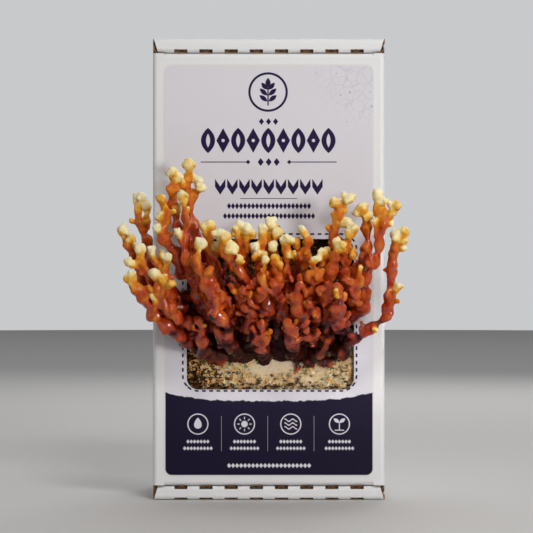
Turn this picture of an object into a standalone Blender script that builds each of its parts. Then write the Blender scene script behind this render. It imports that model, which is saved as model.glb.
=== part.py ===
"""Reishi mushroom grow kit.

A corrugated mailer carton stands on one short end. Its lid faces -Y and carries a paper
label, and a window cut through both shows the substrate block inside. A cluster of
antler-shaped reishi has grown out of the block through the window. The carton is one
folded sheet, and the cluster is split at its forks into separate antlers.

Lengths below are in millimetres. +Z is up, the origin is the centre of the carton's
underside, and "out" is the distance in front of the lid's outer face, towards -Y.
"""

import math

import bmesh
import bpy
import numpy as np
from mathutils.bvhtree import BVHTree

MM = 0.001

# Carton, a roll-end mailer of B-flute board
CARTON_WIDTH = 151.0
CARTON_DEPTH = 100.0
CARTON_HEIGHT = 300.0
BOARD = 2.8
LAYER_GAP = 0.3
RIM_HEIGHT = 9.0
RIM_SETBACK = 1.0
RIM_MITRE = 2.6
LID_EDGE = 9.5
WALL_FRONT_SETBACK = 7.5
TUCK_SLANT = 3.4
TUCK_FOLD_INSET = 0.7
TUCK_DEPTH = 30.0
TUCK_KNEE = 9.0
CORNER_FLAP_REACH = 45.0
DUST_FLAP_DEPTH = 32.0
DUST_FLAP_INSET = 7.5

# Window and label
WINDOW_LEFT = -53.4
WINDOW_RIGHT = 55.3
WINDOW_LOW = 71.8
WINDOW_HIGH = 169.7
WINDOW_CORNER = 7.5
LABEL_HALF_WIDTH = 68.2
LABEL_LOW = 16.0
LABEL_HIGH = 283.0
LABEL_CORNER = 5.0
LABEL_THICKNESS = 0.3

# Substrate block behind the window
BLOCK_LEFT = -71.0
BLOCK_RIGHT = 68.5
BLOCK_BACK = 46.6
BLOCK_LOW = LID_EDGE + BOARD + LAYER_GAP
BLOCK_HIGH = 262.0
BLOCK_FACE = 3.3
BLOCK_BULGE = 1.4
BLOCK_RECESS = 12.0
BLOCK_CORNER = 12.0
BLOCK_LUMP = 0.9
BLOCK_ROWS = (10, 6, 18)

# Red crust that the antlers rise from
CRUST_CENTRE = (1.0, 117.0)
CRUST_HALF_WIDTH = 50.0
CRUST_HALF_HEIGHT = 26.5
CRUST_THICKNESS = 7.0
CRUST_SPOKES = 40
CRUST_RINGS = 5

# Antlers
CONTACT_GAP = 0.3
CUTTER_GROWTH = 0.7
SPACE_BETWEEN = 1.3
ROUTE_STEP = 3.5
ROOT_LENGTH = 16.0
ROOT_BURIED = 9.0
TUBE_SIDES = 10
FUSE_VOXEL = 0.9
TRIANGLES_PER_MM = 1.4
LEAST_TRIANGLES = 90
SPACING_ROUNDS = 90
SPACING_REACH = 9.0
NEIGHBOUR_REACH = 26.0
PUSH_SPREAD = 1.4
SIDEWAYS_SHARE = 0.35

# Each antler is a list of strands. A strand's points are (x, out, z, radius), root first;
# the first strand is the stem, and the others fork from it.
ANTLERS = {
    "antler_left_1": [
        [(-46, 0, 121, 4.5), (-52, 8, 122, 4), (-60, 14, 128, 3.5), (-69, 18, 138, 3.2), (-75, 20, 150, 3),
         (-79, 20, 162, 3), (-79, 20, 169, 2.8), (-80.5, 20, 175, 3), (-78.5, 21, 181, 2.6),
         (-78, 22, 186, 2.6), (-79, 22, 190.5, 3.4)],
        [(-80.5, 20, 175, 2.8), (-83.5, 20, 180, 2.8), (-84, 20, 184, 2.6), (-84.5, 21, 189, 2.8),
         (-82.5, 21, 196, 3.9)],
    ],
    "antler_left_2": [
        [(-46, 0, 112, 4.5), (-55, 14, 113, 4), (-64, 24, 117, 3.8), (-72, 30, 126, 3.5), (-78, 34, 137, 3.2),
         (-81, 36, 147, 3), (-84, 38, 155, 2.8), (-87, 39, 162, 2.8), (-86, 40, 166, 2.6),
         (-87.5, 40, 169.5, 3.2)],
        [(-87, 39, 163, 2.6), (-90, 38, 167.5, 2.6), (-93, 38, 170.5, 2.6), (-93, 38, 175, 3.6)],
    ],
    "antler_left_3": [
        [(-37, 0, 122, 4.2), (-50, 16, 124, 3.8), (-61, 28, 126, 3.6), (-67, 36, 134, 3.3), (-73, 42, 142, 3),
         (-78, 45, 150, 2.8), (-81.5, 46, 157, 3), (-81, 46, 163, 3.1)],
        [(-78, 45, 149, 2.6), (-83, 47, 151, 2.6), (-88.5, 48, 154, 2.8)],
    ],
    "antler_left_4": [
        [(-44, 0, 130, 4.2), (-53, 15, 130, 3.8), (-60, 26, 132, 3.4), (-65, 32, 139, 3.2), (-67, 35, 147, 3),
         (-69, 36, 153, 2.8), (-73, 37, 157, 2.6), (-74.5, 37, 162, 2.8)],
        [(-67, 35, 148, 2.6), (-65, 38, 153, 2.6), (-64.5, 39, 157, 3.1)],
        [(-67, 36, 150, 2.4), (-68.5, 34, 156, 2.4), (-68, 34, 160, 2.6)],
    ],
    "antler_left_5": [
        [(-45, 0, 103, 4.4), (-53, 16, 107, 4.2), (-61, 27, 111, 4), (-69, 36, 117, 3.8), (-76, 43, 126, 3.5),
         (-81, 47, 132, 3.2), (-84, 49, 138, 3.3), (-86, 50, 142, 3.1), (-86, 50, 146.5, 3)],
        [(-85.5, 50, 141, 1.8), (-88.5, 50, 143.5, 1.8), (-89.5, 50, 145, 1.9)],
    ],
    "antler_left_6": [
        [(-36, 0, 104, 4), (-48, 22, 113, 3.8), (-59, 35, 120, 3.6), (-66, 44, 128, 3.3), (-69.5, 49, 136, 3),
         (-70.5, 51, 142, 2.8), (-72, 52, 147.5, 3)],
        [(-68, 47, 132, 2.4), (-66, 52, 138, 2.6), (-66, 53, 144, 3)],
        [(-66, 52, 137, 2.0), (-63, 55, 139, 2.2), (-61, 56, 141, 2.6)],
        [(-66, 44, 127, 2.4), (-71, 47, 130, 2.4), (-73.5, 48, 134, 2.8)],
    ],
    "antler_tall_1": [
        [(-27, 0, 138, 4.6), (-31, 10, 143, 4.2), (-37, 18, 149, 3.8), (-42, 23, 157, 3.6), (-44, 26, 166, 3.4),
         (-48, 28, 175, 3.2), (-50.5, 29, 183, 2.9), (-50.5, 30, 192, 2.5), (-51.5, 31, 200, 3),
         (-52.5, 32, 206, 3.2), (-51, 33, 211.5, 2.2), (-51, 33, 216, 3.9)],
        [(-50, 30, 191, 2.4), (-47.5, 31, 197, 2.4), (-45, 32, 201.5, 2.6), (-45, 33, 206, 3)],
        [(-46, 32, 200, 2), (-42, 33, 202, 2.4)],
    ],
    "antler_tall_2": [
        [(-34, 0, 131, 4.6), (-41, 14, 135, 4.2), (-46, 24, 143, 4), (-47, 30, 152, 3.8), (-49, 33, 163, 3.6),
         (-53, 35, 172, 3.4), (-58, 36, 179, 3.2), (-60, 37, 187, 3), (-60.5, 38, 194, 3),
         (-61.5, 39, 200, 3.6), (-60, 40, 205, 3), (-61, 41, 211, 3.6)],
        [(-60, 40, 204, 2.6), (-57.5, 41, 208.5, 2.8)],
        [(-60, 37, 184, 2.4), (-57.5, 40, 188.5, 2.6)],
    ],
    "antler_tall_3": [
        [(-38, 0, 140, 4.4), (-46, 15, 143, 4.2), (-52, 26, 147.5, 4.2), (-56.5, 33, 153, 4.6), (-60, 37, 160, 3.6),
         (-64, 39, 165, 3.2), (-67, 41, 170, 2.9), (-66, 42, 176, 2.7), (-64, 42, 182, 2.6),
         (-65.5, 42, 188, 2.6), (-68, 42, 195, 2.9)],
        [(-67, 41, 171, 2.2), (-70.5, 43, 175.5, 2.8)],
        [(-65, 42, 179, 2.2), (-68.5, 43, 183.5, 2.9)],
    ],
    "antler_tall_4": [
        [(-37, 0, 113, 4.2), (-41, 22, 123, 4), (-46, 34, 136, 3.8), (-50, 41, 149, 3.4), (-53, 45, 160, 3),
         (-54, 46, 170, 2.7), (-52.5, 47, 177, 2.6), (-54, 48, 184, 2.5), (-54, 48, 190, 2.6),
         (-54.5, 48, 196, 3)],
        [(-53.5, 46, 165, 2.4), (-57.5, 48, 173, 2.8)],
    ],
    "antler_tall_5": [
        [(-27, 0, 124, 4.4), (-32, 16, 132, 4), (-34, 28, 142, 3.8), (-35.5, 37, 153, 3.5), (-36.5, 42, 163, 3.2),
         (-38, 45, 171, 3), (-38, 46, 177, 4.3)],
        [(-36.5, 42, 160, 2.6), (-33.5, 46, 164.5, 3)],
    ],
    "antler_front_1": [
        [(-21, 2, 96, 4), (-22.5, 14, 99, 3.9), (-26, 24, 102.5, 3.7), (-26.5, 32, 108, 3.2), (-26.5, 38, 113, 3.3),
         (-31, 44, 118, 4), (-36.5, 48, 123.5, 4.6), (-35.5, 52, 130, 3.8), (-36.5, 54, 137, 4),
         (-39, 55, 143, 3.9), (-43, 55, 148, 3.4), (-45, 54, 154, 3.2), (-44.5, 53, 160, 3),
         (-43, 52, 166.5, 3.6)],
        [(-38.5, 55, 142, 3), (-38, 57, 148, 3)],
        [(-27.5, 28, 102.5, 2), (-31, 30, 103.5, 2), (-33, 31, 107, 1.8), (-33.5, 31, 113, 2)],
    ],
    "antler_front_2": [
        [(1, 0, 117, 4.4), (0.5, 16, 118.5, 4), (-0.5, 30, 122, 3.8), (-2.5, 40, 128.5, 3.6), (-6, 47, 134.5, 3.1),
         (-12, 52, 140.5, 3), (-18, 55, 147, 3.3), (-23, 56, 153, 3.6), (-26.5, 56, 160, 3.6),
         (-30, 55, 166, 3.2), (-31, 55, 172, 3.6)],
        [(-26, 56, 158, 3), (-23.5, 59, 163, 4)],
        [(-28.5, 56, 163, 2.6), (-27.5, 57, 170, 3.2)],
        [(-20, 57, 149, 2.2), (-19, 60, 153, 2.4), (-18, 61, 156, 2.8)],
        [(-4.5, 45, 133, 1.8), (-2, 50, 138, 1.6), (-0.3, 52, 143, 1.9), (-0.8, 53, 147, 1.8)],
        [(-6, 47, 134.5, 1.6), (-7.2, 52, 138, 1.5), (-8, 53, 141.5, 1.6)],
        [(-0.5, 32, 122, 2), (-4.5, 42, 125, 1.8), (-7, 48, 129, 1.7), (-12, 53, 133, 1.7), (-16.5, 55, 137.5, 2.2)],
    ],
    "antler_low_1": [
        [(-27, 0, 113, 4), (-24, 16, 116, 3.5), (-24.5, 30, 121, 3), (-27, 40, 127, 2.5), (-28.5, 46, 133, 3.2)],
        [(-25, 32, 122, 2), (-24, 42, 127, 2), (-24.5, 45, 132, 1.9)],
        [(-27, 41, 128, 1.8), (-31, 46, 134, 1.7), (-33, 47, 139, 2)],
    ],
    "antler_low_2": [
        [(-17, 0, 114, 4), (-16.5, 18, 120, 3.4), (-18, 32, 125, 3), (-20, 42, 130, 3), (-22, 47, 135, 3),
         (-24, 49, 140, 2.2)],
        [(-20, 43, 131, 2.2), (-18.5, 50, 137, 2.2), (-20, 53, 142, 2), (-22, 54, 145, 1.8)],
    ],
    "antler_low_3": [
        [(-14, 0, 104, 4), (-11, 20, 113, 3.4), (-11, 34, 120, 3), (-13.5, 42, 125, 2.4), (-13.8, 45, 129, 2.6)],
        [(-11, 35, 121, 1.9), (-15.5, 38, 122.5, 1.9), (-19.5, 40, 123.8, 1.7)],
        [(-10.5, 34, 120, 2), (-8.5, 41, 123, 2), (-9.5, 43, 127, 1.8)],
    ],
    "antler_centre_1": [
        [(-17, 0, 129, 4.4), (-16, 14, 135, 4), (-16, 27, 143, 3.6), (-16.5, 36, 152, 3.3), (-17, 42, 161, 3),
         (-18, 45, 168, 2.8), (-20.5, 47, 174, 3)],
        [(-18, 45, 168, 2.4), (-17, 47, 173, 2.6), (-18.5, 48, 178.5, 2.2)],
        [(-16.8, 40, 158, 2.6), (-13, 46, 165, 2.8), (-13.5, 48, 171, 2.8), (-12.5, 49, 175, 3)],
        [(-13.5, 47, 169, 2.4), (-9.8, 48, 172, 2.8)],
    ],
    "antler_centre_2": [
        [(-7, 0, 124, 4.4), (-6.5, 16, 131, 4), (-6, 28, 140, 3.7), (-5, 37, 149, 3.4), (-4.5, 42, 157, 3.2),
         (-5, 45, 164, 2.9), (-5.3, 47, 171, 2.7), (-5.3, 48, 176, 2.8)],
        [(-5, 41, 154, 2.8), (-8, 46, 159, 2.9), (-9.5, 48, 164.5, 3.2)],
        [(-4.5, 43, 156, 2.2), (-3, 48, 159.5, 2.4)],
    ],
    "antler_centre_3": [
        [(4, 0, 128, 4.4), (3, 14, 135, 4), (2, 26, 144, 3.6), (1, 34, 153, 3.2), (0, 39, 161, 2.9),
         (0, 42, 168, 2.7), (-0.5, 44, 174, 2.6), (0.5, 46, 178.5, 3.6)],
        [(0, 42, 167, 2.4), (3, 46, 170, 2.8), (4.5, 47, 173, 3)],
        [(0.5, 38, 157, 2.6), (1, 46, 160, 3), (1, 49, 164.5, 3.2)],
    ],
    "antler_centre_4": [
        [(11, 0, 121, 4.2), (10.5, 14, 127, 3.7), (10, 27, 133, 3), (10, 37, 139, 2.4), (9.3, 43, 145, 2),
         (10, 47, 150, 2), (10.5, 49, 154, 2.6), (9.5, 50, 159, 3.2), (9, 51, 164, 3.8), (9.5, 52, 168.5, 3)],
        [(9.5, 52, 167.5, 2.6), (13.2, 53, 167.5, 2.5)],
        [(9.5, 51, 160, 2.4), (12.2, 53, 159, 2.4)],
        [(9.5, 44, 146, 1.8), (12, 47, 147.5, 1.7), (14.5, 49, 143.5, 1.8)],
    ],
    "antler_centre_5": [
        [(4, 0, 108, 4.2), (4.5, 18, 118, 3.8), (4.5, 32, 127, 3.4), (5, 41, 136, 3), (5, 47, 145, 3),
         (4.5, 50, 152, 3.5), (4.8, 51, 157, 3.2)],
        [(5, 44, 139, 2.2), (4.8, 52, 143.8, 2.8)],
        [(5, 47, 147, 2), (7.8, 51, 151, 1.9), (7.8, 52, 153.5, 1.8)],
    ],
    "antler_centre_6": [
        [(-5, 0, 107, 4), (-4, 20, 116, 3.5), (-4, 37, 126, 3), (-4, 50, 137, 2.6), (-4.5, 55, 143.5, 2.4),
         (-4.8, 57, 148, 2.2), (-3.2, 58, 152.5, 2.2), (-2.2, 58, 156, 2.2)],
    ],
    "antler_centre_7": [
        [(13, 0, 111, 4.2), (11, 14, 114.5, 3.4), (8.5, 26, 119, 3), (7, 38, 125, 2.7), (7, 47, 130.5, 2.4),
         (5.5, 53, 135.5, 2.2), (3, 56, 139, 1.9), (2.2, 57, 142.5, 1.9)],
        [(6.8, 48, 131, 1.8), (8.8, 53, 131.5, 1.9)],
        [(6, 51, 134, 1.8), (6.8, 56, 139.5, 2.2)],
    ],
    "antler_centre_8": [
        [(23, 0, 125, 4.4), (21.5, 13, 129.5, 4), (21, 25, 136, 3.4), (21, 34, 144, 2.8), (22, 39, 151, 2.8),
         (23, 42, 158, 3.1), (24, 44, 164, 3.4), (25, 45, 169, 3.3), (22.5, 47, 172.5, 2.6), (20.5, 48, 176, 2.3)],
    ],
    "antler_centre_9": [
        [(14, 0, 130, 4.2), (15, 13, 135.5, 3.6), (16.5, 24, 142, 3), (18, 32, 150, 2.8), (19, 37, 157, 2.8),
         (18.5, 40, 162, 2.6), (17.5, 42, 166.5, 3)],
    ],
    "antler_centre_10": [
        [(24, 0, 115, 4.4), (24.5, 18, 120, 4), (24.5, 31, 126, 3.6), (25, 40, 133, 3.2), (27, 46, 140, 2.8),
         (29.5, 50, 146, 2.6), (28.5, 52, 151.5, 2.5), (27, 53, 155, 2.3), (30, 54, 156.8, 2.2)],
        [(27.5, 47, 141.5, 2.2), (24, 51, 143.5, 2.1), (25, 52, 147.3, 2.2)],
        [(25, 40, 133, 2.2), (22, 46, 137.5, 2.1), (19.5, 48, 141, 2), (18.3, 49, 145, 1.9)],
    ],
    "antler_centre_11": [
        [(31, 0, 130, 4.4), (32.5, 14, 134, 4), (33, 25, 139, 3.6), (32.5, 35, 145, 3.2), (33.5, 41, 151, 2.9),
         (35.5, 44, 157, 2.9), (36.3, 45, 161, 2.7)],
        [(33.8, 42, 153, 2), (32, 46, 156, 1.8), (31.3, 47, 158, 1.7)],
        [(35.5, 44, 157.5, 2), (33, 47, 161.5, 2.1)],
    ],
    "antler_front_3": [
        [(20, 0, 104.5, 4.6), (21, 14, 108.5, 4.4), (22.5, 28, 115, 4), (22.5, 41, 120.5, 4.2), (20, 51, 126, 4),
         (18.3, 57, 131, 3.6), (17.3, 60, 136, 2.8), (18.5, 61, 140, 2.4)],
    ],
    "antler_front_4": [
        [(33, 0, 112, 4.2), (33, 14, 113, 3.6), (32, 28, 115.5, 3.1), (29, 40, 120.5, 2.9), (26.5, 50, 125.5, 2.6),
         (24, 56, 128.5, 2.2)],
    ],
    "antler_front_5": [
        [(47, 0, 107, 4.6), (46, 13, 109.5, 4.2), (43.5, 27, 113.5, 4.2), (41.3, 40, 118, 4.4), (41.2, 50, 123.5, 4.2),
         (43, 56, 129, 3.4), (44, 59, 134, 2.8), (42.5, 61, 139, 2.6)],
        [(45, 20, 111.5, 2), (47.5, 34, 115, 1.9), (47.5, 42, 119.5, 1.8), (49.5, 45, 122.5, 1.7)],
    ],
    "antler_front_6": [
        [(38, 0, 104, 4.2), (38, 18, 109.5, 3.6), (37, 32, 117, 3), (37.5, 43, 124, 2.6), (37.8, 50, 131, 2.4),
         (38.2, 54, 136, 2), (36.5, 56, 141.5, 1.8)],
        [(37.7, 48, 128.5, 1.8), (40.5, 54, 130.8, 1.8)],
        [(37.3, 43, 124, 2.2), (34, 50, 131, 2.8), (33, 53, 137, 3.1)],
    ],
    "antler_right_1": [
        [(45, 0, 98, 4.4), (47.5, 11, 101.5, 3.8), (51, 20, 105.5, 3.3), (57, 27, 106.5, 3.1), (62, 31, 110.5, 2.9),
         (66.5, 33, 114.5, 2.8), (71, 34, 117, 2.8), (74.5, 35, 121.5, 3.2), (75, 36, 127, 3.2), (76.5, 37, 134, 3),
         (77, 37, 141, 2.6), (77, 38, 148, 3.2), (77.5, 39, 155, 3.4), (79.5, 40, 161, 3), (81, 41, 166, 3.2),
         (81, 41, 171, 4.6)],
        [(81.5, 41, 168, 2.8), (85, 42, 173.5, 3.6)],
        [(81.5, 41, 165.5, 2), (85.5, 42, 168, 2.2)],
        [(80.5, 40, 162, 1.6), (85.5, 41, 163.3, 1.7)],
        [(75.5, 37, 124.5, 2.2), (78.5, 38, 130, 2.3), (80.5, 39, 135, 2.5), (82, 39, 139, 2.6)],
        [(66.5, 33, 114.5, 1.8), (67, 37, 111.8, 1.8)],
    ],
    "antler_right_2": [
        [(43, 0, 115, 4.6), (49, 14, 119, 4.4), (55, 24, 126, 4), (58, 31, 133, 3.6), (59.5, 35, 140, 3.3),
         (61.5, 38, 147, 3.4), (64.5, 41, 153.5, 3.3), (68, 43, 159, 3.2), (69.7, 44, 165, 3), (69.7, 45, 171, 2.8),
         (71, 46, 177, 3), (71.3, 47, 183, 3.2), (69, 48, 189, 3.4), (68.5, 49, 196, 4)],
        [(69.7, 45, 169, 2.2), (67, 47, 174, 2.2), (66.3, 48, 180, 2)],
        [(72, 46.5, 180, 2.2), (75.5, 47, 183.5, 2.3), (77.5, 48, 187, 2.5), (80, 49, 190, 3.1)],
        [(78, 48, 188.5, 2), (76.6, 48, 191.3, 2)],
        [(71.5, 46, 178.5, 2), (76.8, 47, 178.5, 2)],
    ],
    "antler_right_3": [
        [(42, 0, 133, 4.6), (47, 14, 136, 4.4), (52, 24, 141, 4.2), (56, 31, 146, 4), (59.5, 35, 154, 3.6),
         (62.2, 38, 162, 3.2), (62.2, 40, 170, 2.8), (62, 42, 177, 2.8), (60.5, 44, 182, 3.2), (58.3, 46, 187, 4.4)],
        [(61, 43, 180, 2.6), (63.5, 46, 184, 2.8)],
        [(59, 45, 185, 2.4), (55.2, 46, 185.5, 2.6)],
        [(59, 46, 187, 2.4), (60.5, 47, 190, 2.4)],
    ],
    "antler_right_4": [
        [(33, 0, 139, 4.6), (34, 12, 142, 4.2), (36, 24, 147.5, 3.8), (38, 33, 153, 3.5), (39.5, 38, 162, 3.2),
         (41, 41, 170, 3), (42.5, 43, 177, 3), (44, 45, 184, 2.7), (44.5, 46, 189, 2.7), (47.5, 47, 192.5, 3),
         (50.5, 48, 194.5, 3.8)],
        [(44.5, 46, 188.5, 2.4), (41, 47, 191.8, 3.2)],
        [(47, 47, 192, 2), (47.3, 48, 196.5, 2)],
        [(44.2, 45, 185, 1.8), (48.5, 46, 187.8, 1.8)],
        [(42.8, 43, 177, 2.6), (47, 46, 178, 3), (49.5, 47, 179.5, 3.2)],
        [(41.5, 42, 173, 1.8), (40, 45, 180, 1.7), (40.5, 46, 185, 1.8)],
    ],
    "antler_right_5": [
        [(42, 0, 124, 4.4), (43.5, 19, 127, 4), (45.5, 32, 134, 3.6), (47.5, 41, 145, 3.3), (49, 46, 154, 3),
         (49.5, 48, 162, 2.8), (49.8, 50, 169, 2.9), (52.8, 51, 175.5, 3.6)],
        [(49.3, 48, 160, 2), (52.5, 51, 163, 2.4), (52.8, 52, 158.5, 2.6)],
        [(49.5, 49, 166, 1.8), (46.5, 51, 165.5, 1.9)],
    ],
    "antler_right_6": [
        [(33, 0, 121, 4.4), (33, 19, 126, 4), (34.5, 33, 134, 3.8), (37.5, 43, 144, 3.6), (39.8, 48, 153, 3.4),
         (41.8, 51, 161, 3), (43.4, 53, 167.5, 2.9)],
        [(40.3, 49, 155, 2.2), (44.5, 53, 160, 2.4), (46.3, 54, 166, 2)],
    ],
    "antler_right_7": [
        [(50, 0, 129, 3.8), (53, 17, 129.5, 3.8), (54, 31, 131, 3.5), (55, 41, 138, 3), (56.8, 47, 145, 2.3),
         (57.3, 49, 150.8, 2.2)],
        [(54.8, 40, 136.5, 2.4), (51.5, 49, 142, 2.6), (48, 52, 143.5, 2.3)],
        [(53.5, 30, 130, 2), (54, 42, 132.5, 2), (52, 48, 136.7, 1.8)],
        [(53.5, 28, 129, 2), (58, 34, 128.3, 2)],
    ],
    "antler_low_4": [
        [(-38, 0, 95, 4), (-42, 11, 100, 3.8), (-45, 20, 107, 3.4), (-43.5, 28, 112.5, 3), (-45, 34, 118, 2.6)],
    ],
    "antler_low_5": [
        [(-3, 0, 96, 4.4), (-4, 14, 99.5, 4), (-3.5, 26, 104.5, 3.2), (-3.8, 35, 109.5, 2.7), (-5, 41, 115, 2.6)],
        [(-3.6, 20, 102.5, 2), (-8, 29, 105, 2), (-8, 34, 109, 2), (-10.5, 38, 113, 1.9)],
    ],
    "antler_low_6": [
        [(16, 0, 96, 4), (16, 15, 99.5, 3.8), (14, 28, 103.5, 3.5), (12.2, 38, 108, 3.3), (12.5, 46, 112.5, 3),
         (11.5, 50, 117, 2.4)],
        [(12.5, 43, 111.5, 2.2), (16, 48, 112.5, 2.1), (20, 51, 114, 2), (23.5, 53, 117, 1.9)],
    ],
    "antler_low_7": [
        [(29, 0, 104, 4.2), (26, 14, 105.5, 3.4), (24, 27, 109, 2.8), (23.5, 35, 113.5, 2.4)],
        [(26, 14, 105.5, 2.6), (28.5, 26, 108, 2.8), (30.5, 32, 111.5, 2.2)],
    ],
    "antler_low_8": [
        [(29, 0, 94, 3.6), (31, 8, 95.5, 3), (34, 14, 98, 2.6), (37, 19, 101, 2.3), (37.5, 23, 104.5, 2.1)],
    ],
}


def clear_scene():
    for scene_object in list(bpy.data.objects):
        bpy.data.objects.remove(scene_object, do_unlink=True)


def finish(name, colour, roughness, metallic=0.0):
    """A Principled material of one colour."""
    material = bpy.data.materials.new(name)
    material.use_nodes = True
    shader = material.node_tree.nodes["Principled BSDF"]
    shader.inputs["Base Color"].default_value = (*colour, 1.0)
    shader.inputs["Roughness"].default_value = roughness
    shader.inputs["Metallic"].default_value = metallic
    return material


def new_mesh(name, points_mm, faces):
    mesh = bpy.data.meshes.new(name)
    mesh.from_pydata([tuple(MM * float(value) for value in point) for point in points_mm], [], faces)
    mesh.update()
    return mesh


def new_object(name, mesh):
    piece = bpy.data.objects.new(name, mesh)
    bpy.context.scene.collection.objects.link(piece)
    return piece


def helper(name, mesh):
    """A cutter or a piece still to be joined: it is never rendered."""
    guide = new_object(name, mesh)
    guide.hide_render = True
    guide.display_type = "WIRE"
    return guide


def settle(piece):
    """Replaces an object's mesh by what its modifiers make of it."""
    graph = bpy.context.evaluated_depsgraph_get()
    evaluated = piece.evaluated_get(graph)
    mesh = bpy.data.meshes.new_from_object(evaluated)
    piece.modifiers.clear()
    piece.data = mesh


def combine(piece, others, operation, solver="EXACT"):
    """Joins others to a piece, or cuts them from it, one by one, and removes them."""
    for other in others:
        boolean = piece.modifiers.new(operation.lower(), "BOOLEAN")
        boolean.operation = operation
        boolean.solver = solver
        boolean.object = other
        settle(piece)
        bpy.data.objects.remove(other, do_unlink=True)


def prism(name, outline, low, high, axis):
    """A closed outline of (a, b) points, carried from low to high along one axis.

    Along Z the outline is (x, y), along X it is (y, z), and along Y it is (x, z).
    """
    place = {
        "X": lambda a, b, c: (c, a, b),
        "Y": lambda a, b, c: (a, c, b),
        "Z": lambda a, b, c: (a, b, c),
    }[axis]
    count = len(outline)
    points = [place(a, b, low) for a, b in outline] + [place(a, b, high) for a, b in outline]
    faces = [tuple(range(count)), tuple(range(count, 2 * count))]
    for index in range(count):
        following = (index + 1) % count
        faces.append((index, following, count + following, count + index))
    mesh = new_mesh(name, points, faces)
    face_outwards(mesh)
    return helper(name, mesh)


def block(name, x, y, z):
    return prism(name, [(x[0], y[0]), (x[1], y[0]), (x[1], y[1]), (x[0], y[1])], z[0], z[1], "Z")


def face_outwards(mesh):
    edit = bmesh.new()
    edit.from_mesh(mesh)
    bmesh.ops.recalc_face_normals(edit, faces=edit.faces)
    edit.to_mesh(mesh)
    edit.free()


def folded_strip(name, middle, low, high, axis):
    """Board of one thickness folded along a line of (a, b) points, with mitred folds."""
    line = np.array(middle, float)
    steps = np.diff(line, axis=0)
    steps /= np.linalg.norm(steps, axis=1)[:, None]
    normals = np.stack([-steps[:, 1], steps[:, 0]], axis=1)
    before = np.vstack([normals[:1], normals])
    after = np.vstack([normals, normals[-1:]])
    mitre = before + after
    mitre /= np.sum(mitre * before, axis=1)[:, None]
    half = BOARD / 2
    outline = [tuple(point) for point in line + half * mitre]
    outline += [tuple(point) for point in (line - half * mitre)[::-1]]
    return prism(name, outline, low, high, axis)


def rounded_rectangle(left, right, low, high, radius, steps=6):
    """Outline points of a rectangle with quarter-circle corners."""
    outline = []
    corners = [
        (right - radius, high - radius, 0.0),
        (left + radius, high - radius, 90.0),
        (left + radius, low + radius, 180.0),
        (right - radius, low + radius, 270.0),
    ]
    for centre_a, centre_b, start in corners:
        for step in range(steps + 1):
            angle = math.radians(start + 90.0 * step / steps)
            outline.append((centre_a + radius * math.cos(angle), centre_b + radius * math.sin(angle)))
    return outline


def wrap_strip():
    """Tuck flap, lid, left wall, back and right wall, as one strip round the carton."""
    side = (CARTON_WIDTH - BOARD) / 2
    front = (CARTON_DEPTH - BOARD) / 2
    middle = [
        (side - TUCK_SLANT, TUCK_DEPTH - front),
        (side - TUCK_SLANT, TUCK_KNEE - front),
        (side - TUCK_FOLD_INSET, -front),
        (-side, -front),
        (-side, front),
        (side, front),
        (side, WALL_FRONT_SETBACK - front - BOARD / 2),
    ]
    wall_low = BOARD + LAYER_GAP
    return folded_strip("wrap", middle, wall_low, CARTON_HEIGHT - wall_low, "Z")


def end_strip(name, turn):
    """Outer end wall, rim and inner end wall, rolled over from the back; turn sets which end."""
    front = CARTON_DEPTH / 2 - RIM_SETBACK - BOARD / 2
    back = CARTON_DEPTH / 2 - BOARD / 2
    outer = BOARD / 2
    inner = RIM_HEIGHT - BOARD / 2
    middle = [(back, turn(outer)), (-front, turn(outer)), (-front, turn(inner)), (back - BOARD, turn(inner))]
    reach = CARTON_WIDTH / 2
    strip = folded_strip(name, middle, -reach, reach, "X")
    inner_reach = reach - BOARD - LAYER_GAP
    trims = []
    for side in (-1, 1):
        ends = sorted((side * inner_reach, side * (reach + BOARD)))
        heights = sorted((turn(BOARD + LAYER_GAP), turn(RIM_HEIGHT + BOARD)))
        trims.append(block("side_trim", ends, (BOARD - front, CARTON_DEPTH), heights))
        outline = [
            (side * (reach - 0.7), turn(-BOARD)),
            (side * (reach - 0.7), turn(0.0)),
            (side * (reach - RIM_MITRE - 0.7), turn(RIM_HEIGHT)),
            (side * (reach - RIM_MITRE - 0.7), turn(RIM_HEIGHT + BOARD)),
            (side * (reach + BOARD), turn(RIM_HEIGHT + BOARD)),
            (side * (reach + BOARD), turn(-BOARD)),
        ]
        trims.append(prism("rim_mitre", outline, -CARTON_DEPTH, BOARD - front, "Y"))
    combine(strip, trims, "DIFFERENCE")
    return strip


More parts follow.
